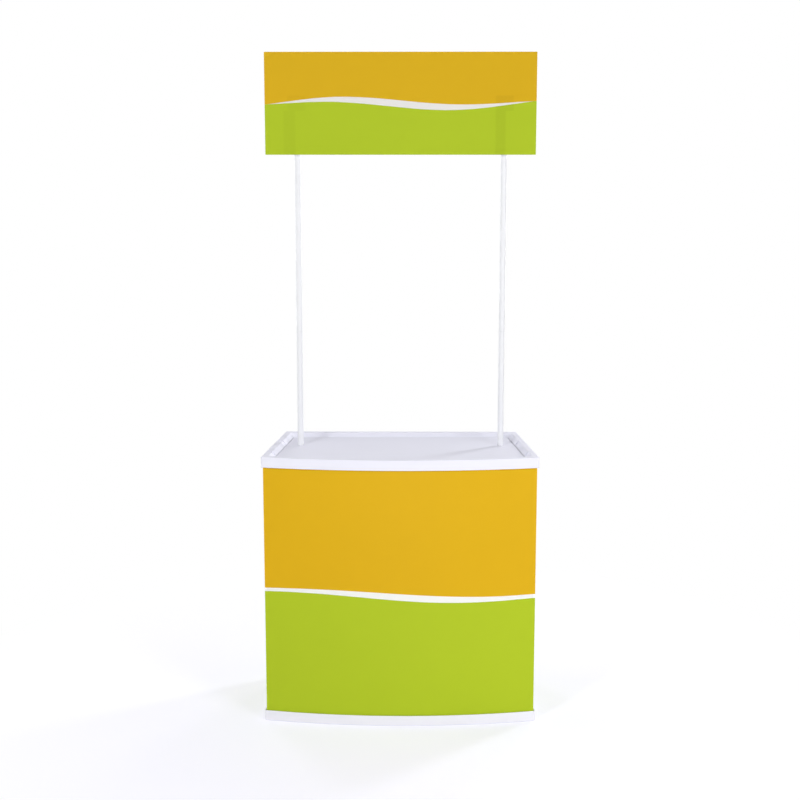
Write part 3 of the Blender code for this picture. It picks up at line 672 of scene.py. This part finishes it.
def tray_section(rim, front_extra, depth, draft, skirt, corner, recess_corner):
    """A tray's rounded section from the floor's middle, out over the rim and back underneath."""
    foot = rim + draft
    bottom = depth + TRAY_WALL
    corners = [
        (foot + 0.006, -depth, front_extra, recess_corner),
        (foot, -depth, front_extra, recess_corner),
        (rim, 0, front_extra, recess_corner),
        (0, 0, 0, corner),
        (0, -skirt, 0, corner),
        (SKIRT_WALL, -skirt, 0, corner),
        (SKIRT_WALL, -TRAY_WALL, 0, corner),
        (rim - TRAY_WALL, -TRAY_WALL, front_extra, recess_corner),
        (foot - TRAY_WALL, -bottom, front_extra, recess_corner),
        (foot + 0.006, -bottom, front_extra, recess_corner),
    ]
    reach = [0, 0.0025, 0.002, 0.0022, 0.0008, 0.0008, 0.001, 0.001, 0.003, 0]
    return soften(corners, reach, steps=4)


def tray_body(work, section, inset=0.0, apex_inset=0.0):
    """Collect the faces of a tray: its section carried round the outline."""
    skin(work, [
        raised(outline(inset + place, apex_inset + place + extra, corner), height)
        for place, height, extra, corner in section
    ])


tray_profile = tray_section(
    rim=RIM, front_extra=0.0125, depth=RECESS, draft=DRAFT,
    skirt=SKIRT_HEIGHT, corner=0.004, recess_corner=0.014,
)
print("a tray's section has", len(tray_profile), "points")

# %% [markdown]
# Beside the recess, each short side has two hollow tabs. They reach out over the groove and keep the wrap
# against the skirt. From above they show as small notches in the recess's wall. A bar along the side, with a
# slanted end that stays inside the tray's wall, makes a tab, and a smaller one cuts its notch. A fine groove
# runs along the foot of the wall on both short sides, where the photograph shows a thin dark line. Here and
# later, SNUG is the small gap that stays between two pieces that touch.

# %% Bars along a side
SNUG = 0.0003
WRAP_INNER = 0.00755
TAB_PLACES = (0.20, 0.61)
TAB_WIDTH = 0.012


def side_bar(work, side, along, width, section):
    """A bar along a side, centred at a distance from its front corner, with a section of (inset, height)."""
    rings = []
    for end in (-1, 1):
        points = [side_point(inset, along + end * width / 2) for inset, height in section]
        rings.append([(side * point.x, point.y, height) for point, (inset, height) in zip(points, section)])
    skin(work, rings)


def tabs_and_notches():
    """The bodies of all four tabs, and of everything that is cut: four notches and two fine grooves."""
    end = WRAP_INNER + SNUG
    wall = 0.0018
    notch_floor = 0.001 - RECESS
    low, high = notch_floor - wall, -TRAY_WALL / 2
    slope = DRAFT / RECESS
    root = RIM - TRAY_WALL / 2
    foot = RIM + DRAFT
    tab = [(end, low), (root - low * slope, low), (root - high * slope, high), (end, high)]
    notch = [(end + wall, notch_floor), (foot + 0.004, notch_floor), (foot + 0.004, 0.004),
             (end + wall, 0.004)]
    groove = [(foot + 0.0004, 0.003 - RECESS), (foot + 0.0012, -RECESS - 0.0012),
              (foot + 0.0030, -RECESS - 0.0012), (foot + 0.0040, 0.003 - RECESS)]
    tabs, notches = bmesh.new(), bmesh.new()
    for side in (-1, 1):
        for place in TAB_PLACES:
            side_bar(tabs, side, place * side_length, TAB_WIDTH, tab)
            side_bar(notches, side, place * side_length, TAB_WIDTH - 2 * wall, notch)
        side_bar(notches, side, side_length * 0.51, side_length - 0.088, groove)
    return make("tabs", tabs), make("notches", notches)


print("tabs at", [round(place * side_length, 3) for place in TAB_PLACES], "m from each front corner")

# %% [markdown]
# Thin ribs stiffen the floor from below. On the base, which lies upside down, they are the star pattern that
# shows through the open back. A rib is a strip along a path, thicker at its root and rounded at its crest, as
# it has to leave the mould. The straight ones are given by their ends, as shares of half the rear's width and
# of the depth from the rear, and the bowed ones follow the front.

# %% Ribs under a tray
RIB_WIDTH = 0.0024


def rib(work, path):
    """A strip with a tapered, rounded section along a path under the floor."""
    root = -RECESS - TRAY_WALL / 2
    crest_highlight = -RECESS - TRAY_WALL - RIB_HEIGHT
    half = RIB_WIDTH / 2
    corners = [(-half * 1.15, root), (-half * 0.75, crest_highlight), (half * 0.75, crest_highlight), (half * 1.15, root)]
    section = soften(corners, [0, 0.0007, 0.0007, 0])
    rings = []
    for i, point in enumerate(path):
        before, after = path[max(i - 1, 0)], path[min(i + 1, len(path) - 1)]
        heading = (after - before).normalized()
        across = Vector((-heading.y, heading.x))
        rings.append([(*(point + across * reach), height) for reach, height in section])
    skin(work, rings)


def from_rear(across_share, depth_share):
    return Vector((across_share * REAR_WIDTH / 2, rear_y - depth_share * SIDE_DEPTH))


def rib_paths():
    """The paths of all ribs: three across the rear, two diagonals, four short chevron arms, three bowed."""
    paths = []
    for reach, depth in ((0.92, 0.09), (0.67, 0.24), (0.52, 0.40)):
        paths.append([from_rear(-reach, depth), from_rear(reach, depth)])
    arms = (((0.71, 0.098), (-0.864, 0.833)), ((0.76, 0.188), (0.44, 0.50)), ((0.44, 0.53), (0.704, 0.723)))
    for (x1, y1), (x2, y2) in arms:
        for mirror in (-1, 1):
            paths.append([from_rear(mirror * x1, y1), from_rear(mirror * x2, y2)])
    for inset_share, reach_share in ((0.147, 0.912), (0.312, 0.624), (0.460, 0.507)):
        radius = bow_radius - inset_share * SIDE_DEPTH
        reach = math.asin(reach_share * REAR_WIDTH / 2 / radius)
        paths.append(arc((0, bow_centre_y), radius, -math.pi / 2 - reach, -math.pi / 2 + reach, 32))
    return paths


print("ribs:", len(rib_paths()))

# %% [markdown]
# The poles pass through the worktop and stand on the shelf, so both need round holes, and the base has them
# too, because it comes out of the same mould. A small collar under the floor thickens each hole's edge.

# %% Cut the holes and make the two trays
POLE_X = 0.315
POLE_Y = rear_y - 0.1605
POLE_RADIUS = 0.00925
HOLE_RADIUS = POLE_RADIUS + 0.0008
POLE_PLACES = ((-POLE_X, POLE_Y), (POLE_X, POLE_Y))


def holes():
    """Two cylinders that cut the poles' holes."""
    work = bmesh.new()
    for centre in POLE_PLACES:
        turn(work, [(0, -0.03), (HOLE_RADIUS, -0.03), (HOLE_RADIUS, 0.01), (0, 0.01)], centre)
    return make("holes", work)


def mould_tray(name):
    """One tray, with its rim's top at height 0."""
    tray = build(name, tray_body, tray_profile)
    tabs, notches = tabs_and_notches()
    combine(tray, tabs, "UNION")
    combine(tray, notches, "DIFFERENCE")
    combine(tray, holes(), "DIFFERENCE")
    extras = bmesh.new()
    for path in rib_paths():
        rib(extras, path)
    under = -RECESS - TRAY_WALL
    collar = [(HOLE_RADIUS, under + 0.001), (HOLE_RADIUS, under - 0.003),
              (HOLE_RADIUS + 0.004, under - 0.003), (HOLE_RADIUS + 0.0045, under + 0.001)]
    for centre in POLE_PLACES:
        turn(extras, soften(collar, [0, 0.0008, 0.0008, 0], closed=True), centre)
    add_faces(tray, extras)
    return tray


worktop = mould_tray("worktop")
base = add("base", worktop.data.copy())
base.data.transform(Matrix.Rotation(math.pi, 4, "Y"))
worktop.data.transform(Matrix.Translation((0, 0, WORKTOP_HEIGHT)))
belongs(shade(base), base_plastic, "tray", "base", "base_tray")
belongs(shade(worktop), worktop_plastic, "tray", "worktop", "worktop_tray")

# %% [markdown]
# ## The shelf
#
# The shelf is a shallow tray of the same kind that lies inside the wrap. Its rim is only a narrow lip, and its
# recess has large round corners. Its front is flatter than the counter's, so a dark gap stays between the
# shelf and the bowed panel. Under its floor, a closed cup takes each pole's foot.

# %% Make the shelf
SHELF_HEIGHT = 0.470
SHELF_SKIRT = 0.033
SHELF_INSET = WRAP_INNER + 0.001
SHELF_FRONT_INSET = SHELF_INSET + 0.025
CUP_TOP = -0.0145

shelf_profile = tray_section(
    rim=0.0055, front_extra=0, depth=RECESS, draft=0.009,
    skirt=SHELF_SKIRT, corner=0.008, recess_corner=0.035,
)
shelf = build("shelf", tray_body, shelf_profile, SHELF_INSET, SHELF_FRONT_INSET)
combine(shelf, holes(), "DIFFERENCE")
cup_outer = HOLE_RADIUS + TRAY_WALL
cup_floor = TRAY_WALL - SHELF_SKIRT
cup = [(0, -SHELF_SKIRT), (cup_outer, -SHELF_SKIRT), (cup_outer, CUP_TOP), (HOLE_RADIUS, CUP_TOP),
       (HOLE_RADIUS, cup_floor), (0, cup_floor)]
cups = bmesh.new()
for centre in POLE_PLACES:
    turn(cups, soften(cup, [0, 0.0008, 0, 0, 0.0005, 0]), centre)
add_faces(shelf, cups)
shelf.data.transform(Matrix.Translation((0, 0, SHELF_HEIGHT)))
belongs(shade(shelf), shelf_plastic, "tray", "shelf", "shelf_tray")

# %% [markdown]
# Four small angles on the wrap's sides carry the shelf. They can't be seen in the picture, but something has
# to hold the shelf at this height, and an angle with rounded edges is what such counters have.

# %% Make the shelf's brackets
SIDES = ((-1, "left"), (1, "right"))
BRACKET_LENGTH = 0.040
BRACKET_PLACES = ((0.25, "front"), (0.75, "rear"))


def angle_section():
    """The angle's section: a leg on the wrap and a ledge under the shelf's skirt."""
    face = WRAP_INNER + SNUG
    top = SHELF_HEIGHT - SHELF_SKIRT - SNUG
    leg, ledge, gauge = 0.024, 0.014, 0.002
    corners = [(face, top - leg), (face + gauge, top - leg), (face + gauge, top - gauge),
               (face + ledge, top - gauge), (face + ledge, top), (face, top)]
    return soften(corners, [0.0006, 0.0006, 0.002, 0.0006, 0.0006, 0.0004], closed=True)


for side, side_name in SIDES:
    for share, end_name in BRACKET_PLACES:
        name = f"{side_name}_{end_name}"
        angle = build(f"angle_{name}", side_bar, side, share * side_length, BRACKET_LENGTH, angle_section())
        belongs(shade(angle), clip_plastic, "bracket", "wrap", f"shelf_bracket_{name}")

# %% [markdown]
# ## The wrap
#
# The wrap is one sheet, creased at four upright lines, that stands in the trays' grooves: a bowed front, two
# sides and two narrow flaps at the back. Its path is the outline with tight corners, which catch a line of
# light, and with its ends taken on along the rear. The outer and the inner face follow two such paths with
# equally many points, and long straight stretches are divided so that the printed wave can follow them.

# %% The path of the wrap
WRAP_OUTER = 0.00555
FLAP_WIDTH = 0.109
FLAP_END_X = side_meets_rear(WRAP_OUTER).x - FLAP_WIDTH
WRAP_LOW = TRAY_WALL + SNUG
WRAP_HIGH = WORKTOP_HEIGHT - TRAY_WALL - SNUG


def wrap_path(inset, bend, margin):
    """The sheet's line at an inset, from the left flap round the front to the right flap."""
    loop = outline(inset, inset, bend)
    end = FLAP_END_X + margin
    return [Vector((-end, loop[0].y))] + loop + [Vector((end, loop[-1].y))]


def divided(path, like, step=0.008):
    """A path with points added where its twin has stretches longer than the step."""
    points = []
    for i in range(len(path) - 1):
        parts = max(math.ceil((like[i + 1] - like[i]).length / step), 1)
        points += [path[i].lerp(path[i + 1], k / parts) for k in range(parts)]
    return points + [path[-1]]


def ribbon(work, outer, inner, lows, highs):
    """A standing sheet between an outer and an inner path, with its own low and high edge at each point."""
    skin(work, [
        [(*out, low), (*into, low), (*into, high), (*out, high)]
        for out, into, low, high in zip(outer, inner, lows, highs)
    ])


panel_outer = wrap_path(WRAP_OUTER, 0.0022, 0)
panel_inner = divided(wrap_path(WRAP_INNER, 0.0008, 0), panel_outer)
panel_outer = divided(panel_outer, panel_outer)
print("the wrap's path has", len(panel_outer), "points")

# %% Make the wrap's panel
count = len(panel_outer)
panel = build("wrap_sheet", ribbon, panel_outer, panel_inner, [WRAP_LOW] * count, [WRAP_HIGH] * count)
rounding = panel.modifiers.new("rounded edges", "BEVEL")
rounding.width = 0.0005
rounding.segments = 2
rounding.limit_method = "ANGLE"
rounding.angle_limit = math.radians(60)
belongs(shade(panel, 50), wrap_sheet, "panel", "wrap", "wrap_panel")

# %% [markdown]
# The print leaves a white stripe bare, so the orange and the green are two films with a wavy gap between
# them. The wave isn't a sine: it rises and falls by different amounts, and the stripe swells and thins. It is
# drawn as a few stations with a smooth ease between them. Places are shares of half the wrap's length, from
# the middle of the front.

# %% Draw the wave
STRIPE_LEVEL = 0.413
STRIPE_SWING = 0.0141
STRIPE_MOST = 0.0211
STRIPE_EDGE = ((-1.0, -0.85), (-0.288, 1.0), (0.345, -0.62), (0.448, -0.53), (0.592, -1.0), (0.935, -0.05),
               (1.0, -0.07))
STRIPE_WIDTH = ((-1.0, 0.96), (-0.88, 0.90), (-0.448, 0.52), (0.065, 1.0), (0.484, 0.59), (0.806, 1.0),
                (1.0, 0.99))


def eased(stations, place):
    """A value between stations, turning level at each of them."""
    for (start, low), (end, high) in zip(stations, stations[1:]):
        if place <= end:
            share = (place - start) / (end - start)
            return low + (high - low) * (1 - math.cos(math.pi * share)) / 2
    return stations[-1][1]


def places(path):
    """Each point's place along a path, from -1 over 0 in the middle to 1."""
    run = [0.0]
    for first, second in zip(path, path[1:]):
        run.append(run[-1] + (second - first).length)
    return [2 * value / run[-1] - 1 for value in run]


print("in the middle the stripe is", round(STRIPE_MOST * eased(STRIPE_WIDTH, 0) * 1000, 1), "mm wide")

# %% Make the two films of the wrap
FILM_THICKNESS = 0.00025
FILM_MARGIN = 0.008
FILM_CORNER = 0.0025
FILM_OVERLAP = 0.010


def lay_film(name, outer, inner, lows, highs, *belonging):
    """One film between two paths, from its low edge to its high one."""
    belongs(shade(build(name, ribbon, outer, inner, lows, highs), 50), *belonging)


film_outer = wrap_path(FILM_INSET, FILM_CORNER, FILM_MARGIN)
film_inner = wrap_path(FILM_INSET + FILM_THICKNESS, FILM_CORNER - FILM_THICKNESS, FILM_MARGIN)
film_inner = divided(film_inner, film_outer)
film_outer = divided(film_outer, film_outer)
stripe_high, stripe_low = [], []
for place in places(film_outer):
    stripe_high.append(STRIPE_LEVEL + STRIPE_SWING * eased(STRIPE_EDGE, place))
    stripe_low.append(stripe_high[-1] - STRIPE_MOST * eased(STRIPE_WIDTH, place))
film_top = [WORKTOP_HEIGHT - SKIRT_HEIGHT + FILM_OVERLAP] * len(film_outer)
film_bottom = [SKIRT_HEIGHT - FILM_OVERLAP] * len(film_outer)
lay_film("wrap_print_above", film_outer, film_inner, stripe_high, film_top,
         wrap_orange, "orange_film", "wrap", "wrap_upper_film")
lay_film("wrap_print_below", film_outer, film_inner, film_bottom, stripe_low,
         wrap_green, "green_film", "wrap", "wrap_lower_film")

# %% [markdown]
# ## The poles
#
# Each pole is a thin tube in two lengths. A turned spigot joins them, with a thin collar that shows as a fine
# line at the joint, and a plug closes each end. All of them are profiles turned round the pole's axis, with
# the ends slightly rounded.

# %% Turned pieces of the poles
POLE_BORE = POLE_RADIUS - 0.0012
STEM_RADIUS = POLE_BORE - SNUG
COLLAR_HALF = 0.0005
SPIGOT_HALF = 0.035
PLUG_REST = 0.002
PLUG_LENGTH = 0.014
SLEEVE_ROOF = 0.002
JOINT_HEIGHT = WORKTOP_HEIGHT + 0.350
FOOT_HEIGHT = SHELF_HEIGHT - SHELF_SKIRT + TRAY_WALL + SNUG
HEAD_HEIGHT = CLIP_TOP - SLEEVE_ROOF - SNUG


def tube(work, low, high):
    corners = [(POLE_RADIUS, low), (POLE_RADIUS, high), (POLE_BORE, high), (POLE_BORE, low)]
    turn(work, soften(corners, [0.0004, 0.0004, 0.0002, 0.0002], closed=True))


def plug(work, end, inward):
    """A plug from the pole's end inwards, which is 1 for up and -1 for down."""
    shoulder = end + inward * PLUG_REST
    tip = end + inward * PLUG_LENGTH
    corners = [(0, end), (POLE_RADIUS, end), (POLE_RADIUS, shoulder), (STEM_RADIUS, shoulder),
               (STEM_RADIUS, tip), (0, tip)]
    turn(work, soften(corners, [0, 0.0006, 0.0002, 0, 0.0008, 0]))


def spigot(work):
    """A stem in both lengths of a pole, with the collar between them."""
    upper = [(0, SPIGOT_HALF), (STEM_RADIUS, SPIGOT_HALF), (STEM_RADIUS, COLLAR_HALF),
             (POLE_RADIUS, COLLAR_HALF)]
    lower = [(radius, -height) for radius, height in reversed(upper)]
    profile = soften(upper + lower, [0, 0.001, 0, 0.0002, 0.0002, 0, 0.001, 0])
    turn(work, [(radius, JOINT_HEIGHT + height) for radius, height in profile])


print("joint at", JOINT_HEIGHT, "m, pole from", round(FOOT_HEIGHT, 4), "to", round(HEAD_HEIGHT, 4), "m")

# %% Make the poles
joint_gap = COLLAR_HALF + SNUG
plug_gap = PLUG_REST + SNUG
for side, side_name in SIDES:
    for name, shape, numbers, finish, slot, half, node in (
        ("lower_tube", tube, (FOOT_HEIGHT + plug_gap, JOINT_HEIGHT - joint_gap),
         pole_paint, "pole", "lower", "lower_pole"),
        ("foot_plug", plug, (FOOT_HEIGHT, 1), plug_plastic, "plug", "lower", "pole_foot_plug"),
        ("joint_spigot", spigot, (), plug_plastic, "spigot", "lower", "pole_spigot"),
        ("upper_tube", tube, (JOINT_HEIGHT + joint_gap, HEAD_HEIGHT - plug_gap),
         pole_paint, "pole", "upper", "upper_pole"),
        ("top_plug", plug, (HEAD_HEIGHT, -1), plug_plastic, "plug", "upper", "pole_top_plug"),
    ):
        made = shade(build(f"{side_name}_{name}", shape, *numbers))
        made.location = (side * POLE_X, POLE_Y, 0)
        belongs(made, finish, slot, f"{side_name}_{half}", f"{side_name}_{node}")

# %% [markdown]
# ## The header sign
#
# The sign is a thin white board with slightly rounded corners. On its front are two films with the same kind
# of wavy gap as on the wrap. The gap tapers to nothing at both ends of the sign. The board is an outline in
# the plane of the sign, carried through its thickness and drawn in a little at both faces.

# %% Make the board
SIGN_HALF = POLE_X + 0.096
SIGN_LOW = TOTAL_HEIGHT - 0.305
SIGN_FRONT = POLE_Y - 0.018
BOARD_FRONT = SIGN_FRONT + 0.00055
BOARD_BACK = BOARD_FRONT + 0.003
SIGN_CORNER = 0.002
# The board's back is painted darker as painted shade, and its front lighter as painted light.
BOARD_SHADED_WHITE = (0.637, 0.655, 0.721)
BOARD_FRONT_LIT = (0.735, 0.715, 0.70)
board_middle = BOARD_FRONT + 0.0015
board_sheet = extruded_sheet("white board sheet", BOARD_SHADED_WHITE, (0.02, 1, 1), lit_front=(board_middle, BOARD_FRONT_LIT))


def rounded_plate(work, left, low, right, high, corner, front, back, edge):
    """An upright plate with rounded corners and softened edges, facing -Y."""
    rings = []
    for y, inset in ((front, edge), (front + edge * 0.3, edge * 0.3), (front + edge, 0), (back - edge, 0),
                     (back - edge * 0.3, edge * 0.3), (back, edge)):
        ring = []
        hubs = ((left, low), (right, low), (right, high), (left, high))
        inward = ((1, 1), (-1, 1), (-1, -1), (1, -1))
        for quarter, (hub, way) in enumerate(zip(hubs, inward)):
            centre = (hub[0] + way[0] * corner, hub[1] + way[1] * corner)
            start = math.pi + quarter * math.pi / 2
            ring += arc(centre, corner - inset, start, start + math.pi / 2, 6)
        rings.append([(point.x, y, point.y) for point in ring])
    skin(work, rings)


board = build("sign_board", rounded_plate, -SIGN_HALF, SIGN_LOW, SIGN_HALF, TOTAL_HEIGHT, SIGN_CORNER,
              BOARD_FRONT, BOARD_BACK, 0.0004)
belongs(shade(board), board_sheet, "board", "header", "header_board")

# %% Make the sign's films
SIGN_STRIPE_LEVEL = TOTAL_HEIGHT - 0.148
SIGN_STRIPE_SWING = 0.0156
SIGN_STRIPE_MOST = 0.0207
SIGN_STRIPE_LEAST = 0.0003
SIGN_WAVE = ((-1.29, -0.98), (-0.428, 1.0), (0.462, -0.455), (1.192, 0.33))


def sign_stations():
    """Places across the sign, closer together at its rounded corners."""
    corner = [SIGN_CORNER * (1 - math.cos(math.radians(15 * k))) for k in range(7)]
    inner = SIGN_HALF - SIGN_CORNER
    middle = [-inner + 2 * inner * k / 140 for k in range(1, 140)]
    return [-SIGN_HALF + d for d in corner] + middle + [SIGN_HALF - d for d in reversed(corner)]


def corner_drop(x):
    """How far the sign's rounded corner lies below its edge."""
    into = max(SIGN_CORNER - (SIGN_HALF - abs(x)), 0)
    return SIGN_CORNER - math.sqrt(SIGN_CORNER ** 2 - into ** 2)


stations = sign_stations()
sign_outer = [Vector((x, SIGN_FRONT)) for x in stations]
sign_inner = [Vector((x, SIGN_FRONT + FILM_THICKNESS)) for x in stations]
wave_high, wave_low = [], []
for x in stations:
    swell = math.cos(math.pi / 2 * min(abs(x / SIGN_HALF) / 0.99, 1))
    wave_high.append(SIGN_STRIPE_LEVEL + SIGN_STRIPE_SWING * eased(SIGN_WAVE, x / SIGN_HALF))
    wave_low.append(wave_high[-1] - max(SIGN_STRIPE_MOST * swell, SIGN_STRIPE_LEAST))
sign_top = [TOTAL_HEIGHT - corner_drop(x) for x in stations]
sign_bottom = [SIGN_LOW + corner_drop(x) for x in stations]
lay_film("sign_print_above", sign_outer, sign_inner, wave_high, sign_top,
         sign_orange, "orange_film", "header", "header_upper_film")
lay_film("sign_print_below", sign_outer, sign_inner, sign_bottom, wave_low,
         sign_green, "green_film", "header", "header_lower_film")

# %% [markdown]
# ## The clips
#
# A clip is one moulding: a plate screwed to the board's back, and a sleeve that drops over the pole and is
# closed at its top. A short web joins the two. The three shapes overlap, so they are joined into one body
# first, and then the bore and the two screw holes are cut.

# %% Make the clips
CLIP_HALF = 0.029
CLIP_FRONT = BOARD_BACK + SNUG
CLIP_BACK = CLIP_FRONT + 0.0025
SLEEVE_RADIUS = 0.01155
SLEEVE_BORE = 0.00975
WEB_HALF = 0.005
SCREW_OUT = 0.0145
SCREW_DROPS = (0.013, 0.023)


def cylinder(name, radius, low, high, centre, edge=0.0):
    """An upright cylinder with a softened top edge."""
    corners = [(0, low), (radius, low), (radius, high), (0, high)]
    return build(name, turn, soften(corners, [0, 0, edge, 0]), centre)


def clip(name, side):
    """One clip, with its screws' holes on its outer half."""
    x = side * POLE_X
    made = build(name, rounded_plate, x - CLIP_HALF, CLIP_LOW, x + CLIP_HALF, CLIP_TOP, 0.003,
                 CLIP_FRONT, CLIP_BACK, 0.0005)
    start = CLIP_BACK - 0.001
    corners = [(x - WEB_HALF, start), (x + WEB_HALF, start), (x + WEB_HALF, POLE_Y), (x - WEB_HALF, POLE_Y)]
    web = build("web", skin, [raised(corners, CLIP_LOW + 0.003), raised(corners, CLIP_TOP - 0.003)])
    sleeve = cylinder("sleeve", SLEEVE_RADIUS, CLIP_LOW, CLIP_TOP, (x, POLE_Y), 0.0008)
    bore = cylinder("bore", SLEEVE_BORE, CLIP_LOW - 0.004, CLIP_TOP - SLEEVE_ROOF, (x, POLE_Y))
    combine(made, web, "UNION")
    combine(made, sleeve, "UNION")
    combine(made, bore, "DIFFERENCE")
    for drop in SCREW_DROPS:
        hole = cylinder("hole", 0.0013, -0.006, 0.006, (0, 0))
        hole.data.transform(Matrix.Rotation(math.pi / 2, 4, "X"))
        hole.data.transform(Matrix.Translation((x + side * SCREW_OUT, CLIP_BACK, CLIP_TOP - drop)))
        combine(made, hole, "DIFFERENCE")
    return made


for side, side_name in SIDES:
    made = shade(clip(f"{side_name}_clip", side))
    belongs(made, clip_plastic, "clip", "header", f"{side_name}_header_clip")

# %% [markdown]
# The screws are tiny, but close up a plain dot would look unfinished. A turned pan head on a thin shank with
# a pointed end gives the form, and two crossed bars cut the recess for the driver.

# %% Make the screws
def screw(name):
    """A pan-headed screw that points along -Y, with its seat at the origin."""
    corners = [(0, 0.0013), (0.0016, 0.0013), (0.0021, 0.0007), (0.0021, 0.0003), (0.0010, 0.0003),
               (0.0010, -0.0035), (0, -0.0045)]
    made = build(name, turn, soften(corners, [0, 0.0005, 0.0003, 0.0001, 0, 0.0002, 0]), (0, 0), 32)
    for turn_angle in (0, math.pi / 2):
        bar = bmesh.new()
        bmesh.ops.create_cube(bar, size=1)
        cutter = make("recess", bar)
        size = Matrix.Diagonal((0.0022, 0.0005, 0.0012, 1))
        cutter.data.transform(Matrix.Translation((0, 0, 0.0013)) @ Matrix.Rotation(turn_angle, 4, "Z") @ size)
        combine(made, cutter, "DIFFERENCE")
    made.data.transform(Matrix.Rotation(-math.pi / 2, 4, "X"))
    return shade(made)


for side, side_name in SIDES:
    for drop, end_name in zip(SCREW_DROPS, ("upper", "lower")):
        made = screw(f"{side_name}_screw_{end_name}")
        made.location = (side * (POLE_X + SCREW_OUT), CLIP_BACK, CLIP_TOP - drop)
        belongs(made, screw_steel, "screw", "header", f"{side_name}_clip_{end_name}_screw")

# %% [markdown]
# ## The floor and the light
#
# The picture's ground is pure white, with only a soft shadow close to the base. The floor is a diffuse white
# sheet. For the camera it also glows a little, so that it ends up white where nothing shades it. Further out
# it turns into an even white, which meets the white world without a seam. Mirrors and glass would see that too.

# %% Lay the floor
WHITE = (1, 1, 1, 1)
FLOOR_GLOW = 0.50

work = bmesh.new()
bmesh.ops.create_circle(work, cap_ends=True, segments=64, radius=6)
floor = make("floor", work)
paper = Finish("white floor", Roughness=0.9, Specular_IOR_Level=0.1)
x, y, _ = paper.axes()
from_middle = (x * x + y * y).root()
fibres = paper.noise(30, detail=2)
plain_tone = paper.mix(fibres, (0.78, 0.78, 0.785, 1), (0.80, 0.80, 0.80, 1))
paper.feed(paper.shader, {"Base Color": plain_tone})
shown = {"Base Color": paper.mix(fibres, (0.50, 0.50, 0.60, 1), (0.51, 0.51, 0.61, 1)), "Roughness": 0.9,
         "Specular IOR Level": 0.1, "Emission Color": WHITE, "Emission Strength": FLOOR_GLOW}
near = paper.node("BsdfPrincipled", inputs=shown)
far = paper.node("Emission", inputs={"Color": WHITE, "Strength": 1.0})
faded = paper.node("MixShader", inputs={0: from_middle.between(0.75, 1.6), 1: near, 2: far})
plain = Flow(paper, paper.shader.outputs[0])
final = paper.node("MixShader", inputs={0: paper.looked_at(), 1: plain, 2: faded})
paper.feed(paper.nodes["Material Output"], {"Surface": final})
floor.data.materials.append(paper.material)
print("floor radius 6 m")

# %% [markdown]
# The light in the picture is very even: the front, the side and the flaps have nearly the same brightness,
# and surfaces that face up are a little darker than the skirts. So most of the light comes from large soft
# lamps that stand low round the counter. Three more, smaller and higher up, draw the streaks that the poles
# cast on the worktop. A sky that is dim at the horizon and brighter overhead fills in the rest, and the camera
# sees it as plain white. The inside would be too dark, because light enters it only through the open back. Two
# weak lamps, under the worktop and under the shelf, stand in for what a white room sends in there.

# %% Light the scene
HORIZON = 0.15
ZENITH = 0.37
WIDE_LAMP = 1.2
SMALL_LAMP = 0.65

world = bpy.data.worlds.new("even daylight")
world.use_nodes = True
bpy.context.scene.world = world
sky = Wiring(world.node_tree)
height = sky.parts(sky.node("TexCoord", output="Generated"))[2]
dim, bright, seen = (
    sky.node("Background", inputs={"Color": WHITE, "Strength": strength})
    for strength in (HORIZON, ZENITH, 1.0)
)
lit = sky.node("MixShader", inputs={0: sky.node("MapRange", inputs={"Value": height}), 1: dim, 2: bright})
final = sky.node("MixShader", inputs={0: sky.looked_at(), 1: lit, 2: seen})
sky.feed(sky.nodes["World Output"], {"Surface": final})

LAMPS = (
    ("front_low", (0.0, -4.6, 0.8), WIDE_LAMP, 32),
    ("front_right_low", (2.8, -3.1, 1.6), WIDE_LAMP, 47),
    ("front_right_high", (1.8, -3.0, 3.3), SMALL_LAMP, 24),
    ("front_left_high", (-1.8, -3.0, 3.3), SMALL_LAMP, 46),
    ("left_side", (-3.7, 0.3, 1.6), WIDE_LAMP, 28),
    ("rear_left_low", (-2.3, 3.5, 1.3), WIDE_LAMP, 48),
    ("rear_right_low", (1.8, 3.75, 1.45), WIDE_LAMP, 44),
    ("rear_right_high", (2.7, 2.1, 3.0), SMALL_LAMP, 54),
)
FILLS = (
    ("under_worktop", (0, -0.015, 0.804), 0.64),
    ("under_shelf", (0, -0.015, 0.432), 0.76),
)
FILL_WIDTH = 0.62
FILL_DEPTH = 0.28
AIM = Vector((0, 0, 0.7))


def hang(name, shape, place, power):
    """A new area lamp that faces down."""
    lamp = add(name, bpy.data.lights.new(name, "AREA"))
    lamp.data.shape = shape
    lamp.data.energy = power
    lamp.location = place
    return lamp


for name, place, size, power in LAMPS:
    lamp = hang(name, "DISK", place, power)
    lamp.data.size = size
    lamp.rotation_euler = (AIM - lamp.location).to_track_quat("-Z", "Y").to_euler()
for name, place, power in FILLS:
    fill = hang(name, "RECTANGLE", place, power)
    fill.data.size = FILL_WIDTH
    fill.data.size_y = FILL_DEPTH
    fill.visible_camera = False

bpy.context.scene.view_settings.view_transform = "Standard"
print("lamps:", [name for name, *rest in LAMPS])
